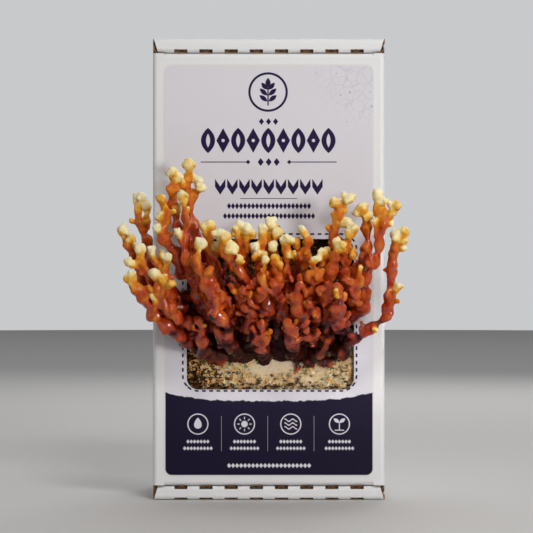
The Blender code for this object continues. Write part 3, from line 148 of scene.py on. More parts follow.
# Each antler, named for its place, is a list of strands. A strand's points are (x, out, z, radius),
# root first; the first strand is the stem, and the others fork from it.
ANTLERS = {
    "left_1": [
        [(-46, 0, 121, 4.5), (-52, 8, 122, 4), (-60, 14, 128, 3.5), (-69, 18, 138, 3.2), (-75, 20, 150, 3),
         (-79, 20, 162, 3), (-79, 20, 169, 2.8), (-80.5, 20, 175, 3), (-78.5, 21, 181, 2.6),
         (-78, 22, 186, 2.6), (-79, 22, 190.5, 3.4)],
        [(-80.5, 20, 175, 2.8), (-83.5, 20, 180, 2.8), (-84, 20, 184, 2.6), (-84.5, 21, 189, 2.8),
         (-82.5, 21, 196, 3.9)]],
    "left_2": [
        [(-46, 0, 112, 4.5), (-55, 14, 113, 4), (-64, 24, 117, 3.8), (-72, 30, 126, 3.5),
         (-78, 34, 137, 3.2), (-81, 36, 147, 3), (-84, 38, 155, 2.8), (-87, 39, 162, 2.8),
         (-86, 40, 166, 2.6), (-87.5, 40, 169.5, 3.2)],
        [(-87, 39, 163, 2.6), (-90, 38, 167.5, 2.6), (-93, 38, 170.5, 2.6), (-93, 38, 175, 3.6)]],
    "left_3": [
        [(-37, 0, 122, 4.2), (-50, 16, 124, 3.8), (-61, 28, 126, 3.6), (-67, 36, 134, 3.3),
         (-73, 42, 142, 3), (-78, 45, 150, 2.8), (-81.5, 46, 157, 3), (-81, 46, 163, 3.1)],
        [(-78, 45, 149, 2.6), (-83, 47, 151, 2.6), (-88.5, 48, 154, 2.8)]],
    "left_4": [
        [(-44, 0, 130, 4.2), (-53, 15, 130, 3.8), (-60, 26, 132, 3.4), (-65, 32, 139, 3.2),
         (-67, 35, 147, 3), (-69, 36, 153, 2.8), (-73, 37, 157, 2.6), (-74.5, 37, 162, 2.8)],
        [(-67, 35, 148, 2.6), (-65, 38, 153, 2.6), (-64.5, 39, 157, 3.1)],
        [(-67, 36, 150, 2.4), (-68.5, 34, 156, 2.4), (-68, 34, 160, 2.6)]],
    "left_5": [
        [(-45, 0, 103, 4.4), (-53, 16, 107, 4.2), (-61, 27, 111, 4), (-69, 36, 117, 3.8),
         (-76, 43, 126, 3.5), (-81, 47, 132, 3.2), (-84, 49, 138, 3.3), (-86, 50, 142, 3.1),
         (-86, 50, 146.5, 3)],
        [(-85.5, 50, 141, 1.8), (-88.5, 50, 143.5, 1.8), (-89.5, 50, 145, 1.9)]],
    "left_6": [
        [(-36, 0, 104, 4), (-48, 22, 113, 3.8), (-59, 35, 120, 3.6), (-66, 44, 128, 3.3),
         (-69.5, 49, 136, 3), (-70.5, 51, 142, 2.8), (-72, 52, 147.5, 3)],
        [(-68, 47, 132, 2.4), (-66, 52, 138, 2.6), (-66, 53, 144, 3)],
        [(-66, 52, 137, 2.0), (-63, 55, 139, 2.2), (-61, 56, 141, 2.6)],
        [(-66, 44, 127, 2.4), (-71, 47, 130, 2.4), (-73.5, 48, 134, 2.8)]],
    "tall_1": [
        [(-27, 0, 138, 4.6), (-31, 10, 143, 4.2), (-37, 18, 149, 3.8), (-42, 23, 157, 3.6),
         (-44, 26, 166, 3.4), (-48, 28, 175, 3.2), (-50.5, 29, 183, 2.9), (-50.5, 30, 192, 2.5),
         (-51.5, 31, 200, 3), (-52.5, 32, 206, 3.2), (-51, 33, 211.5, 2.2), (-51, 33, 216, 3.9)],
        [(-50, 30, 191, 2.4), (-47.5, 31, 197, 2.4), (-45, 32, 201.5, 2.6), (-45, 33, 206, 3)],
        [(-46, 32, 200, 2), (-42, 33, 202, 2.4)]],
    "tall_2": [
        [(-34, 0, 131, 4.6), (-41, 14, 135, 4.2), (-46, 24, 143, 4), (-47, 30, 152, 3.8),
         (-49, 33, 163, 3.6), (-53, 35, 172, 3.4), (-58, 36, 179, 3.2), (-60, 37, 187, 3),
         (-60.5, 38, 194, 3), (-61.5, 39, 200, 3.6), (-60, 40, 205, 3), (-61, 41, 211, 3.6)],
        [(-60, 40, 204, 2.6), (-57.5, 41, 208.5, 2.8)],
        [(-60, 37, 184, 2.4), (-57.5, 40, 188.5, 2.6)]],
    "tall_3": [
        [(-38, 0, 140, 4.4), (-46, 15, 143, 4.2), (-52, 26, 147.5, 4.2), (-56.5, 33, 153, 4.6),
         (-60, 37, 160, 3.6), (-64, 39, 165, 3.2), (-67, 41, 170, 2.9), (-66, 42, 176, 2.7),
         (-64, 42, 182, 2.6), (-65.5, 42, 188, 2.6), (-68, 42, 195, 2.9)],
        [(-67, 41, 171, 2.2), (-70.5, 43, 175.5, 2.8)],
        [(-65, 42, 179, 2.2), (-68.5, 43, 183.5, 2.9)]],
    "tall_4": [
        [(-37, 0, 113, 4.2), (-41, 22, 123, 4), (-46, 34, 136, 3.8), (-50, 41, 149, 3.4), (-53, 45, 160, 3),
         (-54, 46, 170, 2.7), (-52.5, 47, 177, 2.6), (-54, 48, 184, 2.5), (-54, 48, 190, 2.6),
         (-54.5, 48, 196, 3)],
        [(-53.5, 46, 165, 2.4), (-57.5, 48, 173, 2.8)]],
    "tall_5": [
        [(-27, 0, 124, 4.4), (-32, 16, 132, 4), (-34, 28, 142, 3.8), (-35.5, 37, 153, 3.5),
         (-36.5, 42, 163, 3.2), (-38, 45, 171, 3), (-38, 46, 177, 4.3)],
        [(-36.5, 42, 160, 2.6), (-33.5, 46, 164.5, 3)]],
    "front_1": [
        [(-21, 2, 96, 4), (-22.5, 14, 99, 3.9), (-26, 24, 102.5, 3.7), (-26.5, 32, 108, 3.2),
         (-26.5, 38, 113, 3.3), (-31, 44, 118, 4), (-36.5, 48, 123.5, 4.6), (-35.5, 52, 130, 3.8),
         (-36.5, 54, 137, 4), (-39, 55, 143, 3.9), (-43, 55, 148, 3.4), (-45, 54, 154, 3.2),
         (-44.5, 53, 160, 3), (-43, 52, 166.5, 3.6)],
        [(-38.5, 55, 142, 3), (-38, 57, 148, 3)],
        [(-27.5, 28, 102.5, 2), (-31, 30, 103.5, 2), (-33, 31, 107, 1.8), (-33.5, 31, 113, 2)]],
    "front_2": [
        [(1, 0, 117, 4.4), (0.5, 16, 118.5, 4), (-0.5, 30, 122, 3.8), (-2.5, 40, 128.5, 3.6),
         (-6, 47, 134.5, 3.1), (-12, 52, 140.5, 3), (-18, 55, 147, 3.3), (-23, 56, 153, 3.6),
         (-26.5, 56, 160, 3.6), (-30, 55, 166, 3.2), (-31, 55, 172, 3.6)],
        [(-26, 56, 158, 3), (-23.5, 59, 163, 4)],
        [(-28.5, 56, 163, 2.6), (-27.5, 57, 170, 3.2)],
        [(-20, 57, 149, 2.2), (-19, 60, 153, 2.4), (-18, 61, 156, 2.8)],
        [(-4.5, 45, 133, 1.8), (-2, 50, 138, 1.6), (-0.3, 52, 143, 1.9), (-0.8, 53, 147, 1.8)],
        [(-6, 47, 134.5, 1.6), (-7.2, 52, 138, 1.5), (-8, 53, 141.5, 1.6)],
        [(-0.5, 32, 122, 2), (-4.5, 42, 125, 1.8), (-7, 48, 129, 1.7), (-12, 53, 133, 1.7),
         (-16.5, 55, 137.5, 2.2)]],
    "low_1": [
        [(-27, 0, 113, 4), (-24, 16, 116, 3.5), (-24.5, 30, 121, 3), (-27, 40, 127, 2.5),
         (-28.5, 46, 133, 3.2)],
        [(-25, 32, 122, 2), (-24, 42, 127, 2), (-24.5, 45, 132, 1.9)],
        [(-27, 41, 128, 1.8), (-31, 46, 134, 1.7), (-33, 47, 139, 2)]],
    "low_2": [
        [(-17, 0, 114, 4), (-16.5, 18, 120, 3.4), (-18, 32, 125, 3), (-20, 42, 130, 3), (-22, 47, 135, 3),
         (-24, 49, 140, 2.2)],
        [(-20, 43, 131, 2.2), (-18.5, 50, 137, 2.2), (-20, 53, 142, 2), (-22, 54, 145, 1.8)]],
    "low_3": [
        [(-14, 0, 104, 4), (-11, 20, 113, 3.4), (-11, 34, 120, 3), (-13.5, 42, 125, 2.4),
         (-13.8, 45, 129, 2.6)],
        [(-11, 35, 121, 1.9), (-15.5, 38, 122.5, 1.9), (-19.5, 40, 123.8, 1.7)],
        [(-10.5, 34, 120, 2), (-8.5, 41, 123, 2), (-9.5, 43, 127, 1.8)]],
    "centre_1": [
        [(-17, 0, 129, 4.4), (-16, 14, 135, 4), (-16, 27, 143, 3.6), (-16.5, 36, 152, 3.3),
         (-17, 42, 161, 3), (-18, 45, 168, 2.8), (-20.5, 47, 174, 3)],
        [(-18, 45, 168, 2.4), (-17, 47, 173, 2.6), (-18.5, 48, 178.5, 2.2)],
        [(-16.8, 40, 158, 2.6), (-13, 46, 165, 2.8), (-13.5, 48, 171, 2.8), (-12.5, 49, 175, 3)],
        [(-13.5, 47, 169, 2.4), (-9.8, 48, 172, 2.8)]],
    "centre_2": [
        [(-7, 0, 124, 4.4), (-6.5, 16, 131, 4), (-6, 28, 140, 3.7), (-5, 37, 149, 3.4),
         (-4.5, 42, 157, 3.2), (-5, 45, 164, 2.9), (-5.3, 47, 171, 2.7), (-5.3, 48, 176, 2.8)],
        [(-5, 41, 154, 2.8), (-8, 46, 159, 2.9), (-9.5, 48, 164.5, 3.2)],
        [(-4.5, 43, 156, 2.2), (-3, 48, 159.5, 2.4)]],
    "centre_3": [
        [(4, 0, 128, 4.4), (3, 14, 135, 4), (2, 26, 144, 3.6), (1, 34, 153, 3.2), (0, 39, 161, 2.9),
         (0, 42, 168, 2.7), (-0.5, 44, 174, 2.6), (0.5, 46, 178.5, 3.6)],
        [(0, 42, 167, 2.4), (3, 46, 170, 2.8), (4.5, 47, 173, 3)],
        [(0.5, 38, 157, 2.6), (1, 46, 160, 3), (1, 49, 164.5, 3.2)]],
    "centre_4": [
        [(11, 0, 121, 4.2), (10.5, 14, 127, 3.7), (10, 27, 133, 3), (10, 37, 139, 2.4), (9.3, 43, 145, 2),
         (10, 47, 150, 2), (10.5, 49, 154, 2.6), (9.5, 50, 159, 3.2), (9, 51, 164, 3.8),
         (9.5, 52, 168.5, 3)],
        [(9.5, 52, 167.5, 2.6), (13.2, 53, 167.5, 2.5)],
        [(9.5, 51, 160, 2.4), (12.2, 53, 159, 2.4)],
        [(9.5, 44, 146, 1.8), (12, 47, 147.5, 1.7), (14.5, 49, 143.5, 1.8)]],
    "centre_5": [
        [(4, 0, 108, 4.2), (4.5, 18, 118, 3.8), (4.5, 32, 127, 3.4), (5, 41, 136, 3), (5, 47, 145, 3),
         (4.5, 50, 152, 3.5), (4.8, 51, 157, 3.2)],
        [(5, 44, 139, 2.2), (4.8, 52, 143.8, 2.8)],
        [(5, 47, 147, 2), (7.8, 51, 151, 1.9), (7.8, 52, 153.5, 1.8)]],
    "centre_6": [
        [(-5, 0, 107, 4), (-4, 20, 116, 3.5), (-4, 37, 126, 3), (-4, 50, 137, 2.6), (-4.5, 55, 143.5, 2.4),
         (-4.8, 57, 148, 2.2), (-3.2, 58, 152.5, 2.2), (-2.2, 58, 156, 2.2)]],
    "centre_7": [
        [(13, 0, 111, 4.2), (11, 14, 114.5, 3.4), (8.5, 26, 119, 3), (7, 38, 125, 2.7), (7, 47, 130.5, 2.4),
         (5.5, 53, 135.5, 2.2), (3, 56, 139, 1.9), (2.2, 57, 142.5, 1.9)],
        [(6.8, 48, 131, 1.8), (8.8, 53, 131.5, 1.9)],
        [(6, 51, 134, 1.8), (6.8, 56, 139.5, 2.2)]],
    "centre_8": [
        [(23, 0, 125, 4.4), (21.5, 13, 129.5, 4), (21, 25, 136, 3.4), (21, 34, 144, 2.8),
         (22, 39, 151, 2.8), (23, 42, 158, 3.1), (24, 44, 164, 3.4), (25, 45, 169, 3.3),
         (22.5, 47, 172.5, 2.6), (20.5, 48, 176, 2.3)]],
    "centre_9": [
        [(14, 0, 130, 4.2), (15, 13, 135.5, 3.6), (16.5, 24, 142, 3), (18, 32, 150, 2.8),
         (19, 37, 157, 2.8), (18.5, 40, 162, 2.6), (17.5, 42, 166.5, 3)]],
    "centre_10": [
        [(24, 0, 115, 4.4), (24.5, 18, 120, 4), (24.5, 31, 126, 3.6), (25, 40, 133, 3.2),
         (27, 46, 140, 2.8), (29.5, 50, 146, 2.6), (28.5, 52, 151.5, 2.5), (27, 53, 155, 2.3),
         (30, 54, 156.8, 2.2)],
        [(27.5, 47, 141.5, 2.2), (24, 51, 143.5, 2.1), (25, 52, 147.3, 2.2)],
        [(25, 40, 133, 2.2), (22, 46, 137.5, 2.1), (19.5, 48, 141, 2), (18.3, 49, 145, 1.9)]],
    "centre_11": [
        [(31, 0, 130, 4.4), (32.5, 14, 134, 4), (33, 25, 139, 3.6), (32.5, 35, 145, 3.2),
         (33.5, 41, 151, 2.9), (35.5, 44, 157, 2.9), (36.3, 45, 161, 2.7)],
        [(33.8, 42, 153, 2), (32, 46, 156, 1.8), (31.3, 47, 158, 1.7)],
        [(35.5, 44, 157.5, 2), (33, 47, 161.5, 2.1)]],
    "front_3": [
        [(20, 0, 104.5, 4.6), (21, 14, 108.5, 4.4), (22.5, 28, 115, 4), (22.5, 41, 120.5, 4.2),
         (20, 51, 126, 4), (18.3, 57, 131, 3.6), (17.3, 60, 136, 2.8), (18.5, 61, 140, 2.4)]],
    "front_4": [
        [(33, 0, 112, 4.2), (33, 14, 113, 3.6), (32, 28, 115.5, 3.1), (29, 40, 120.5, 2.9),
         (26.5, 50, 125.5, 2.6), (24, 56, 128.5, 2.2)]],
    "front_5": [
        [(47, 0, 107, 4.6), (46, 13, 109.5, 4.2), (43.5, 27, 113.5, 4.2), (41.3, 40, 118, 4.4),
         (41.2, 50, 123.5, 4.2), (43, 56, 129, 3.4), (44, 59, 134, 2.8), (42.5, 61, 139, 2.6)],
        [(45, 20, 111.5, 2), (47.5, 34, 115, 1.9), (47.5, 42, 119.5, 1.8), (49.5, 45, 122.5, 1.7)]],
    "front_6": [
        [(38, 0, 104, 4.2), (38, 18, 109.5, 3.6), (37, 32, 117, 3), (37.5, 43, 124, 2.6),
         (37.8, 50, 131, 2.4), (38.2, 54, 136, 2), (36.5, 56, 141.5, 1.8)],
        [(37.7, 48, 128.5, 1.8), (40.5, 54, 130.8, 1.8)],
        [(37.3, 43, 124, 2.2), (34, 50, 131, 2.8), (33, 53, 137, 3.1)]],
    "right_1": [
        [(45, 0, 98, 4.4), (47.5, 11, 101.5, 3.8), (51, 20, 105.5, 3.3), (57, 27, 106.5, 3.1),
         (62, 31, 110.5, 2.9), (66.5, 33, 114.5, 2.8), (71, 34, 117, 2.8), (74.5, 35, 121.5, 3.2),
         (75, 36, 127, 3.2), (76.5, 37, 134, 3), (77, 37, 141, 2.6), (77, 38, 148, 3.2),
         (77.5, 39, 155, 3.4), (79.5, 40, 161, 3), (81, 41, 166, 3.2), (81, 41, 171, 4.6)],
        [(81.5, 41, 168, 2.8), (85, 42, 173.5, 3.6)],
        [(81.5, 41, 165.5, 2), (85.5, 42, 168, 2.2)],
        [(80.5, 40, 162, 1.6), (85.5, 41, 163.3, 1.7)],
        [(75.5, 37, 124.5, 2.2), (78.5, 38, 130, 2.3), (80.5, 39, 135, 2.5), (82, 39, 139, 2.6)],
        [(66.5, 33, 114.5, 1.8), (67, 37, 111.8, 1.8)]],
    "right_2": [
        [(43, 0, 115, 4.6), (49, 14, 119, 4.4), (55, 24, 126, 4), (58, 31, 133, 3.6), (59.5, 35, 140, 3.3),
         (61.5, 38, 147, 3.4), (64.5, 41, 153.5, 3.3), (68, 43, 159, 3.2), (69.7, 44, 165, 3),
         (69.7, 45, 171, 2.8), (71, 46, 177, 3), (71.3, 47, 183, 3.2), (69, 48, 189, 3.4),
         (68.5, 49, 196, 4)],
        [(69.7, 45, 169, 2.2), (67, 47, 174, 2.2), (66.3, 48, 180, 2)],
        [(72, 46.5, 180, 2.2), (75.5, 47, 183.5, 2.3), (77.5, 48, 187, 2.5), (80, 49, 190, 3.1)],
        [(78, 48, 188.5, 2), (76.6, 48, 191.3, 2)],
        [(71.5, 46, 178.5, 2), (76.8, 47, 178.5, 2)]],
    "right_3": [
        [(42, 0, 133, 4.6), (47, 14, 136, 4.4), (52, 24, 141, 4.2), (56, 31, 146, 4), (59.5, 35, 154, 3.6),
         (62.2, 38, 162, 3.2), (62.2, 40, 170, 2.8), (62, 42, 177, 2.8), (60.5, 44, 182, 3.2),
         (58.3, 46, 187, 4.4)],
        [(61, 43, 180, 2.6), (63.5, 46, 184, 2.8)],
        [(59, 45, 185, 2.4), (55.2, 46, 185.5, 2.6)],
        [(59, 46, 187, 2.4), (60.5, 47, 190, 2.4)]],
    "right_4": [
        [(33, 0, 139, 4.6), (34, 12, 142, 4.2), (36, 24, 147.5, 3.8), (38, 33, 153, 3.5),
         (39.5, 38, 162, 3.2), (41, 41, 170, 3), (42.5, 43, 177, 3), (44, 45, 184, 2.7),
         (44.5, 46, 189, 2.7), (47.5, 47, 192.5, 3), (50.5, 48, 194.5, 3.8)],
        [(44.5, 46, 188.5, 2.4), (41, 47, 191.8, 3.2)],
        [(47, 47, 192, 2), (47.3, 48, 196.5, 2)],
        [(44.2, 45, 185, 1.8), (48.5, 46, 187.8, 1.8)],
        [(42.8, 43, 177, 2.6), (47, 46, 178, 3), (49.5, 47, 179.5, 3.2)],
        [(41.5, 42, 173, 1.8), (40, 45, 180, 1.7), (40.5, 46, 185, 1.8)]],
    "right_5": [
        [(42, 0, 124, 4.4), (43.5, 19, 127, 4), (45.5, 32, 134, 3.6), (47.5, 41, 145, 3.3),
         (49, 46, 154, 3), (49.5, 48, 162, 2.8), (49.8, 50, 169, 2.9), (52.8, 51, 175.5, 3.6)],
        [(49.3, 48, 160, 2), (52.5, 51, 163, 2.4), (52.8, 52, 158.5, 2.6)],
        [(49.5, 49, 166, 1.8), (46.5, 51, 165.5, 1.9)]],
    "right_6": [
        [(33, 0, 121, 4.4), (33, 19, 126, 4), (34.5, 33, 134, 3.8), (37.5, 43, 144, 3.6),
         (39.8, 48, 153, 3.4), (41.8, 51, 161, 3), (43.4, 53, 167.5, 2.9)],
        [(40.3, 49, 155, 2.2), (44.5, 53, 160, 2.4), (46.3, 54, 166, 2)]],
    "right_7": [
        [(50, 0, 129, 3.8), (53, 17, 129.5, 3.8), (54, 31, 131, 3.5), (55, 41, 138, 3),
         (56.8, 47, 145, 2.3), (57.3, 49, 150.8, 2.2)],
        [(54.8, 40, 136.5, 2.4), (51.5, 49, 142, 2.6), (48, 52, 143.5, 2.3)],
        [(53.5, 30, 130, 2), (54, 42, 132.5, 2), (52, 48, 136.7, 1.8)],
        [(53.5, 28, 129, 2), (58, 34, 128.3, 2)]],
    "low_4": [
        [(-38, 0, 95, 4), (-42, 11, 100, 3.8), (-45, 20, 107, 3.4), (-43.5, 28, 112.5, 3),
         (-45, 34, 118, 2.6)]],
    "low_5": [
        [(-3, 0, 96, 4.4), (-4, 14, 99.5, 4), (-3.5, 26, 104.5, 3.2), (-3.8, 35, 109.5, 2.7),
         (-5, 41, 115, 2.6)],
        [(-3.6, 20, 102.5, 2), (-8, 29, 105, 2), (-8, 34, 109, 2), (-10.5, 38, 113, 1.9)]],
    "low_6": [
        [(16, 0, 96, 4), (16, 15, 99.5, 3.8), (14, 28, 103.5, 3.5), (12.2, 38, 108, 3.3),
         (12.5, 46, 112.5, 3), (11.5, 50, 117, 2.4)],
        [(12.5, 43, 111.5, 2.2), (16, 48, 112.5, 2.1), (20, 51, 114, 2), (23.5, 53, 117, 1.9)]],
    "low_7": [
        [(29, 0, 104, 4.2), (26, 14, 105.5, 3.4), (24, 27, 109, 2.8), (23.5, 35, 113.5, 2.4)],
        [(26, 14, 105.5, 2.6), (28.5, 26, 108, 2.8), (30.5, 32, 111.5, 2.2)]],
    "low_8": [
        [(29, 0, 94, 3.6), (31, 8, 95.5, 3), (34, 14, 98, 2.6), (37, 19, 101, 2.3),
         (37.5, 23, 104.5, 2.1)]],
}


# Settings that a user would change

COLOUR = {"subtype": "COLOR", "min": 0, "max": 1}


class CartonSettings(bpy.types.PropertyGroup):
    width: FloatProperty(name="Width", description="Across the lid", default=0.151, unit="LENGTH")
    depth: FloatProperty(name="Depth", description="From the lid to the back", default=0.1, unit="LENGTH")
    height: FloatProperty(name="Height", description="Standing on its end", default=0.3, unit="LENGTH")
    board: FloatProperty(name="Board", description="Thickness of the board", default=0.0028, unit="LENGTH")
    fold: FloatProperty(name="Fold", description="Radius of the board's middle in a fold",
                        default=0.0016, unit="LENGTH")
    white: FloatVectorProperty(name="White", description="Coated outside",
                               default=(0.80, 0.80, 0.81), **COLOUR)
    kraft: FloatVectorProperty(name="Kraft", description="Uncoated inside",
                               default=(0.36, 0.22, 0.11), **COLOUR)
    raw: FloatVectorProperty(name="Raw edge", description="Cut edges", default=(0.30, 0.17, 0.08), **COLOUR)


class LabelSettings(bpy.types.PropertyGroup):
    paper: FloatVectorProperty(name="Paper", description="Unprinted paper",
                               default=(0.71, 0.69, 0.74), **COLOUR)
    margin: FloatVectorProperty(name="Margin", description="The paper's cut margin",
                                default=(0.74, 0.73, 0.72), **COLOUR)
    ink: FloatVectorProperty(name="Ink", description="Ornament on the paper",
                             default=(0.015, 0.006, 0.050), **COLOUR)
    band: FloatVectorProperty(name="Band", description="Printed band at the foot",
                              default=(0.007, 0.0035, 0.023), **COLOUR)
    faint: FloatVectorProperty(name="Faint", description="Pale spores at the corner",
                               default=(0.43, 0.41, 0.49), **COLOUR)


class BlockSettings(bpy.types.PropertyGroup):
    grain: FloatProperty(name="Grain", description="Size of the sawdust's grains",
                         default=0.0022, unit="LENGTH")
    felt: FloatVectorProperty(name="Felt", description="Mycelium over the sawdust",
                              default=(1.0, 0.80, 0.50), **COLOUR)


class AntlerSettings(bpy.types.PropertyGroup):
    voxel: FloatProperty(name="Voxel", description="Grid that fuses the strands",
                         default=0.00074, unit="LENGTH")
    relief: FloatProperty(name="Relief", description="Height of the skin's lumps",
                          default=0.00034, unit="LENGTH")
    gloss: FloatProperty(name="Gloss", description="Lacquer on the red stems",
                         default=0.85, min=0, max=1, subtype="FACTOR")


class StageSettings(bpy.types.PropertyGroup):
    floor: FloatVectorProperty(name="Floor", description="Plain floor",
                               default=(0.62, 0.61, 0.60), **COLOUR)
    distance: FloatProperty(name="Camera distance", description="From the lid's face",
                            default=1.5, unit="LENGTH")
    key: FloatProperty(name="Key light", description="Power that each light takes its share of",
                       default=5.4, min=0)


SETTINGS = {
    "kit_carton": CartonSettings,
    "kit_label": LabelSettings,
    "kit_block": BlockSettings,
    "kit_antlers": AntlerSettings,
    "kit_stage": StageSettings,
}


# Shader maths


class Field:
    """A number that varies over a surface. Python's operators on it add Math nodes."""

    def __init__(self, finish, socket):
        self.finish = finish
        self.socket = socket

    def math(self, operation, *others, clamp=False):
        return self.finish.math(operation, self, *others, clamp=clamp)

    def __add__(self, other):
        return self.math("ADD", other)

    def __sub__(self, other):
        return self.math("SUBTRACT", other)

    def __rsub__(self, other):
        return self.finish.math("SUBTRACT", other, self)

    def __mul__(self, other):
        return self.math("MULTIPLY", other)

    def __truediv__(self, other):
        return self.math("DIVIDE", other)

    def __rtruediv__(self, other):
        return self.finish.math("DIVIDE", other, self)

    def __abs__(self):
        return self.math("ABSOLUTE")

    __radd__ = __add__
    __rmul__ = __mul__

    def least(self, other):
        return self.math("MINIMUM", other)

    def most(self, other):
        return self.math("MAXIMUM", other)

    def wrapped(self, pitch):
        """The same pattern again every pitch: a number from -pitch/2 to pitch/2."""
        return self.math("WRAP", pitch / 2, -pitch / 2)

    def clear(self):
        """Held between 0 and 1."""
        return self.math("ADD", 0.0, clamp=True)

    def root(self):
        return self.math("SQRT")

    def sine(self):
        return self.math("SINE")


class Finish:
    """The node tree of one material or world, and the ways to add to it."""

    def __init__(self, owner):
        owner.use_nodes = True
        self.owner = owner
        self.tree = owner.node_tree
        self.tree.nodes.clear()

    def add(self, kind, settings=None, values=None):
        """A node of one kind: its settings first, then its sockets' values or links."""
        node = self.tree.nodes.new(kind)
        for key, value in (settings or {}).items():
            if key == "stops":
                self.set_stops(node.color_ramp, value)
            else:
                setattr(node, key, value)
        for key, value in (values or {}).items():
            if isinstance(value, Field):
                value = value.socket
            if isinstance(value, bpy.types.NodeSocket):
                self.tree.links.new(value, node.inputs[key])
            else:
                node.inputs[key].default_value = value
        return node

    def set_stops(self, ramp, stops):
        while len(ramp.elements) < len(stops):
            ramp.elements.new(1.0)
        for element, (position, colour) in zip(ramp.elements, stops):
            element.position = position
            element.color = (*colour, 1.0)

    def math(self, operation, *inputs, clamp=False):
        settings = {"operation": operation, "use_clamp": clamp}
        return Field(self, self.add("ShaderNodeMath", settings, dict(enumerate(inputs))).outputs[0])

    def place(self):
        """The Object coordinates: the vector's socket, and x, y and z in millimetres."""
        vector = self.add("ShaderNodeTexCoord").outputs["Object"]
        split = self.add("ShaderNodeSeparateXYZ", {}, {0: vector})
        return vector, [Field(self, split.outputs[axis]) / MM for axis in range(3)]

    def facing(self):
        """How much the surface faces along each axis, from 0 to 1."""
        normal = self.add("ShaderNodeNewGeometry").outputs["Normal"]
        split = self.add("ShaderNodeSeparateXYZ", {}, {0: normal})
        return [abs(Field(self, split.outputs[axis])) for axis in range(3)]

    def attribute(self, name):
        return Field(self, self.add("ShaderNodeAttribute", {"attribute_name": name}).outputs["Fac"])

    def stretched(self, vector, scale):
        return self.add("ShaderNodeMapping", {}, {"Vector": vector, "Scale": scale}).outputs[0]

    def noise(self, vector, size_mm, detail=3.0, roughness=0.55):
        """Cloudy noise from 0 to 1, with blots about as large as the size."""
        values = {"Vector": vector, "Scale": 1 / (size_mm * MM), "Detail": detail, "Roughness": roughness}
        return Field(self, self.add("ShaderNodeTexNoise", {}, values).outputs["Fac"])

    def cells(self, vector, size_mm, output="Distance", feature="F1"):
        values = {"Vector": vector, "Scale": 1 / (size_mm * MM)}
        return Field(self, self.add("ShaderNodeTexVoronoi", {"feature": feature}, values).outputs[output])

    def warped(self, vector, size_mm, reach_mm):
        """The vector pushed about by noise, up to half the reach either way."""
        noise = self.add("ShaderNodeTexNoise", {}, {"Vector": vector, "Scale": 1 / (size_mm * MM)})
        values = {0: noise.outputs["Color"], 1: 3 * [reach_mm * MM], 2: vector}
        return self.add("ShaderNodeVectorMath", {"operation": "MULTIPLY_ADD"}, values).outputs[0]

    def flakes(self, vector, size_mm):
        """A random number from 0 to 1 for each flake of a Voronoi pattern."""
        colour = self.cells(vector, size_mm, "Color")
        return Field(self, self.add("ShaderNodeSeparateColor", {}, {0: colour}).outputs[0])

    def ramp(self, factor, stops):
        return self.add("ShaderNodeValToRGB", {"stops": stops}, {0: factor}).outputs["Color"]

    def mix(self, factor, below, above):
        """Colour below, and colour above where the factor is 1."""
        values = {0: factor}
        for socket, colour in ((6, below), (7, above)):
            values[socket] = colour if isinstance(colour, bpy.types.NodeSocket) else (*colour, 1.0)
        return self.add("ShaderNodeMix", {"data_type": "RGBA"}, values).outputs[2]

    def mottled(self, factor, colour, least, most):
        """A colour that goes from the least to the most of itself."""
        return self.mix(factor, [least * part for part in colour], [most * part for part in colour])

    def bump(self, height, distance_mm, strength=1.0):
        values = {"Height": height, "Distance": distance_mm * MM, "Strength": strength}
        return self.add("ShaderNodeBump", {}, values).outputs[0]

    def finished(self, values):
        """Closes the tree with a Principled shader of these values."""
        shader = self.add("ShaderNodeBsdfPrincipled", {}, values)
        self.add("ShaderNodeOutputMaterial", {}, {0: shader.outputs[0]})
        return self.owner


# Numbers for shapes

LATTICE_PRIMES = (73856093, 19349663, 83492791)
TABLE_ROWS = 8192
CHIP_SEED, LINK_SEED, CRUST_SEED, ANTLER_SEED = 90, 611, 640, 700


def ramp(value):
    """Smooth step from 0 to 1: 3t squared less 2t cubed."""
    limited = np.clip(value, 0.0, 1.0)
    return limited * limited * (3.0 - 2.0 * limited)


def lengths(vectors):
    """The length of each vector in an array of them."""
    return np.linalg.norm(vectors, axis=-1)


def unit(vectors):
    """One vector, or each row of an array of them, divided by its length."""
    if vectors.ndim == 1:
        return vectors / np.linalg.norm(vectors)
    return vectors / lengths(vectors)[:, None]


def picked(table, cells):
    """One row of a table of random numbers for each cell of a cubic lattice."""
    return table[np.bitwise_xor.reduce(cells * LATTICE_PRIMES, axis=1) % len(table)]


def lattice_noise(points, spacing, seed):
    """Smooth noise from -1 to 1.

    Random values stand on a cubic lattice, and each point takes the smooth-stepped mean of
    its cell's eight corners.
    """
    table = np.random.default_rng(seed).uniform(-1.0, 1.0, TABLE_ROWS)
    grid = np.asarray(points) / spacing
    cell = np.floor(grid).astype(np.int64)
    share = ramp(grid - cell)
    total = np.zeros(len(grid))
    for corner in itertools.product((0, 1), repeat=3):
        total += picked(table, cell + corner) * np.prod(np.where(corner, share, 1.0 - share), axis=1)
    return total


def nearest_grains(points, spacing, seed):
    """Distance to the nearest two of many scattered seeds, and the nearest one's own random number.

    Each cell of a cubic lattice holds one seed at a random place in it; the 27 cells round a
    point are searched.
    """
    table = np.random.default_rng(seed).uniform(0.0, 1.0, (TABLE_ROWS, 4))
    grid = np.asarray(points) / spacing
    cell = np.floor(grid).astype(np.int64)
    first = np.full(len(grid), 9.0)
    second = np.full(len(grid), 9.0)
    number = np.zeros(len(grid))
    for around in itertools.product((-1, 0, 1), repeat=3):
        at = cell + around
        seeds = picked(table, at)
        distance = lengths(at + seeds[:, :3] - grid)
        nearer = distance < first
        second = np.where(nearer, first, np.minimum(second, distance))
        number = np.where(nearer, seeds[:, 3], number)
        first = np.where(nearer, distance, first)
    return first, second, number


